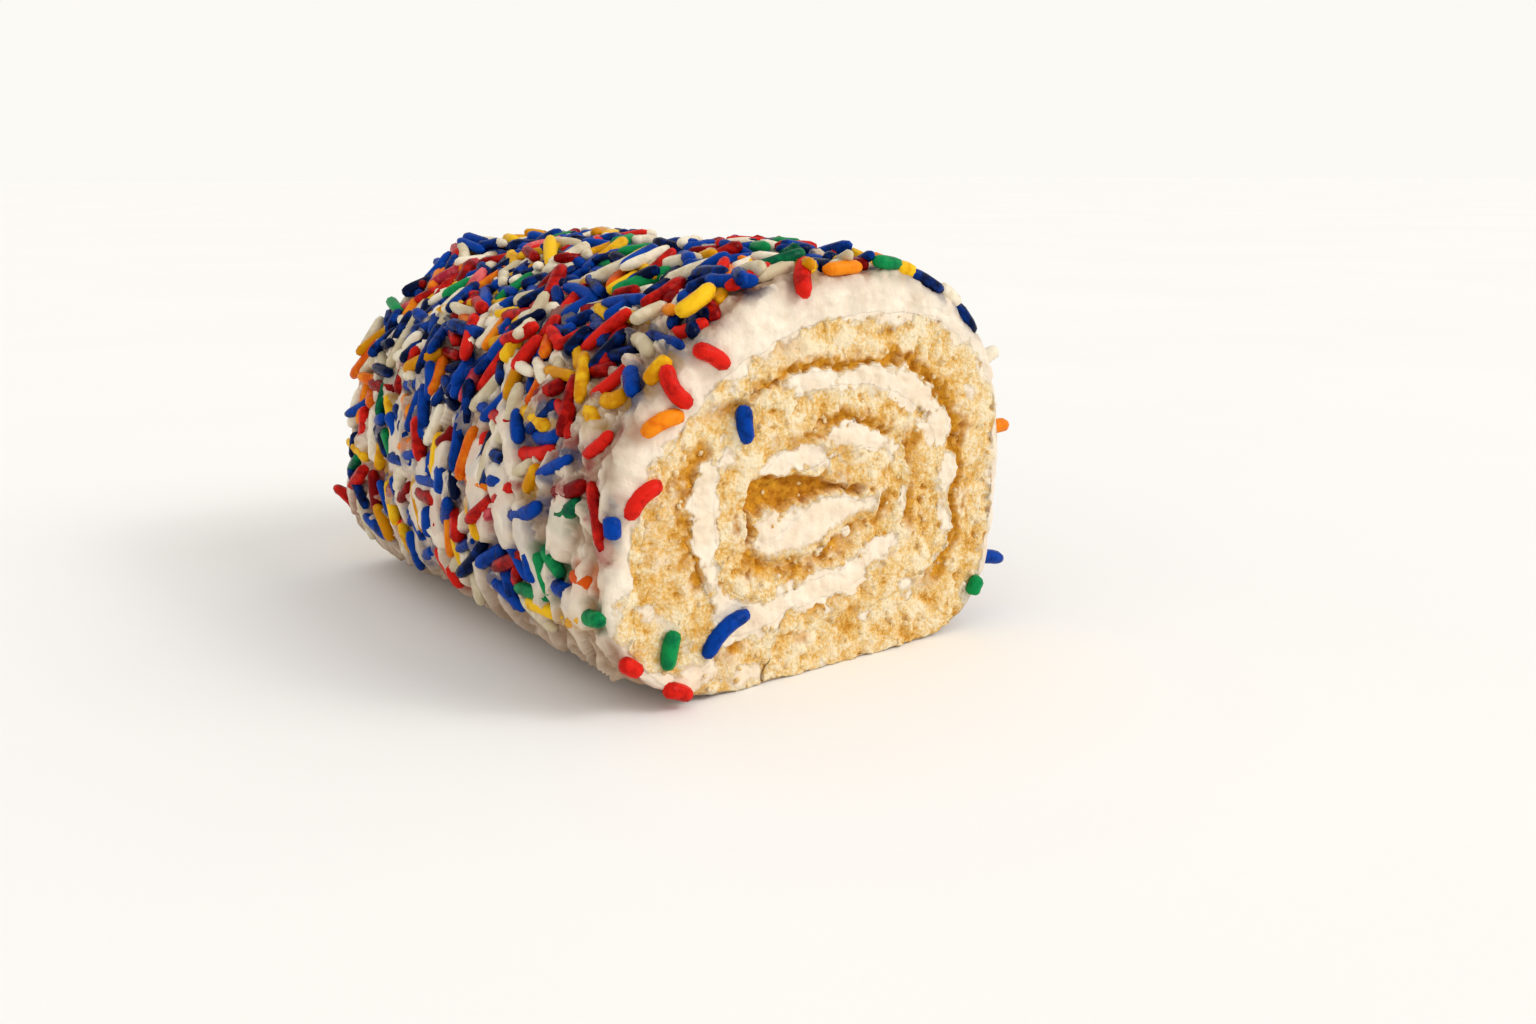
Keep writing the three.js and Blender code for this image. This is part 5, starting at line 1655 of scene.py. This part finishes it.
# %% Light and floor
SUN_FROM = (0.55, -0.66, 0.62)
SUN_COLOUR = (1.0, 0.985, 0.955)
SOFT_STRENGTH, SOFT_WIDTH = 1.15, 34
SMALL_STRENGTH, SMALL_WIDTH = 0.26, 9
SKY_LIGHT = (0.785, 0.775, 0.755)
SKY_SEEN = (0.97, 0.9525, 0.911)
FLOOR_DARK, FLOOR_LIGHT = paint(248, 247, 245), paint(250, 249, 247)
FLOOR_HALF, FLOOR_PATCH, FLOOR_ROUGH = 9000, 6, 0.9


def add_sun(name, strength, width):
    """A lamp far off, whose apparent width in degrees sets how soft its shadows are."""
    sun = bpy.data.objects.new(name, bpy.data.lights.new(name, "SUN"))
    sun.data.energy = strength
    sun.data.angle = np.radians(width)
    sun.data.color = SUN_COLOUR
    sun.rotation_mode = "QUATERNION"
    sun.rotation_quaternion = Vector(SUN_FROM).to_track_quat("Z", "Y")
    bpy.context.scene.collection.objects.link(sun)


add_sun("soft_lamp", SOFT_STRENGTH, SOFT_WIDTH)
add_sun("small_lamp", SMALL_STRENGTH, SMALL_WIDTH)
world = bpy.data.worlds.new("pale_sky")
world.use_nodes = True
sky = world.node_tree
seen = add_node(sky, "ShaderNodeLightPath").outputs["Is Camera Ray"]
sky_colour = blended(sky, seen, (*SKY_LIGHT, 1), (*SKY_SEEN, 1))
sky.links.new(sky_colour, sky.nodes["Background"].inputs["Color"])
bpy.context.scene.world = world
bpy.context.scene.view_settings.view_transform = "Standard"

floor_corners = FLOOR_HALF * np.array([[-1, -1, 0], [1, -1, 0], [1, 1, 0], [-1, 1, 0]])
floor = make_piece("floor", floor_corners, [[0, 1, 2, 3]])
floor_finish, floor_tree, floor_shader, floor_place = start_material("pale_floor")
floor_colour, _ = mottled(floor_tree, floor_place, FLOOR_PATCH, FLOOR_DARK, FLOOR_LIGHT)
floor_tree.links.new(floor_colour, floor_shader.inputs["Base Color"])
floor_shader.inputs["Roughness"].default_value = FLOOR_ROUGH
floor.data.materials.append(floor_finish)
print("light from", SUN_FROM)
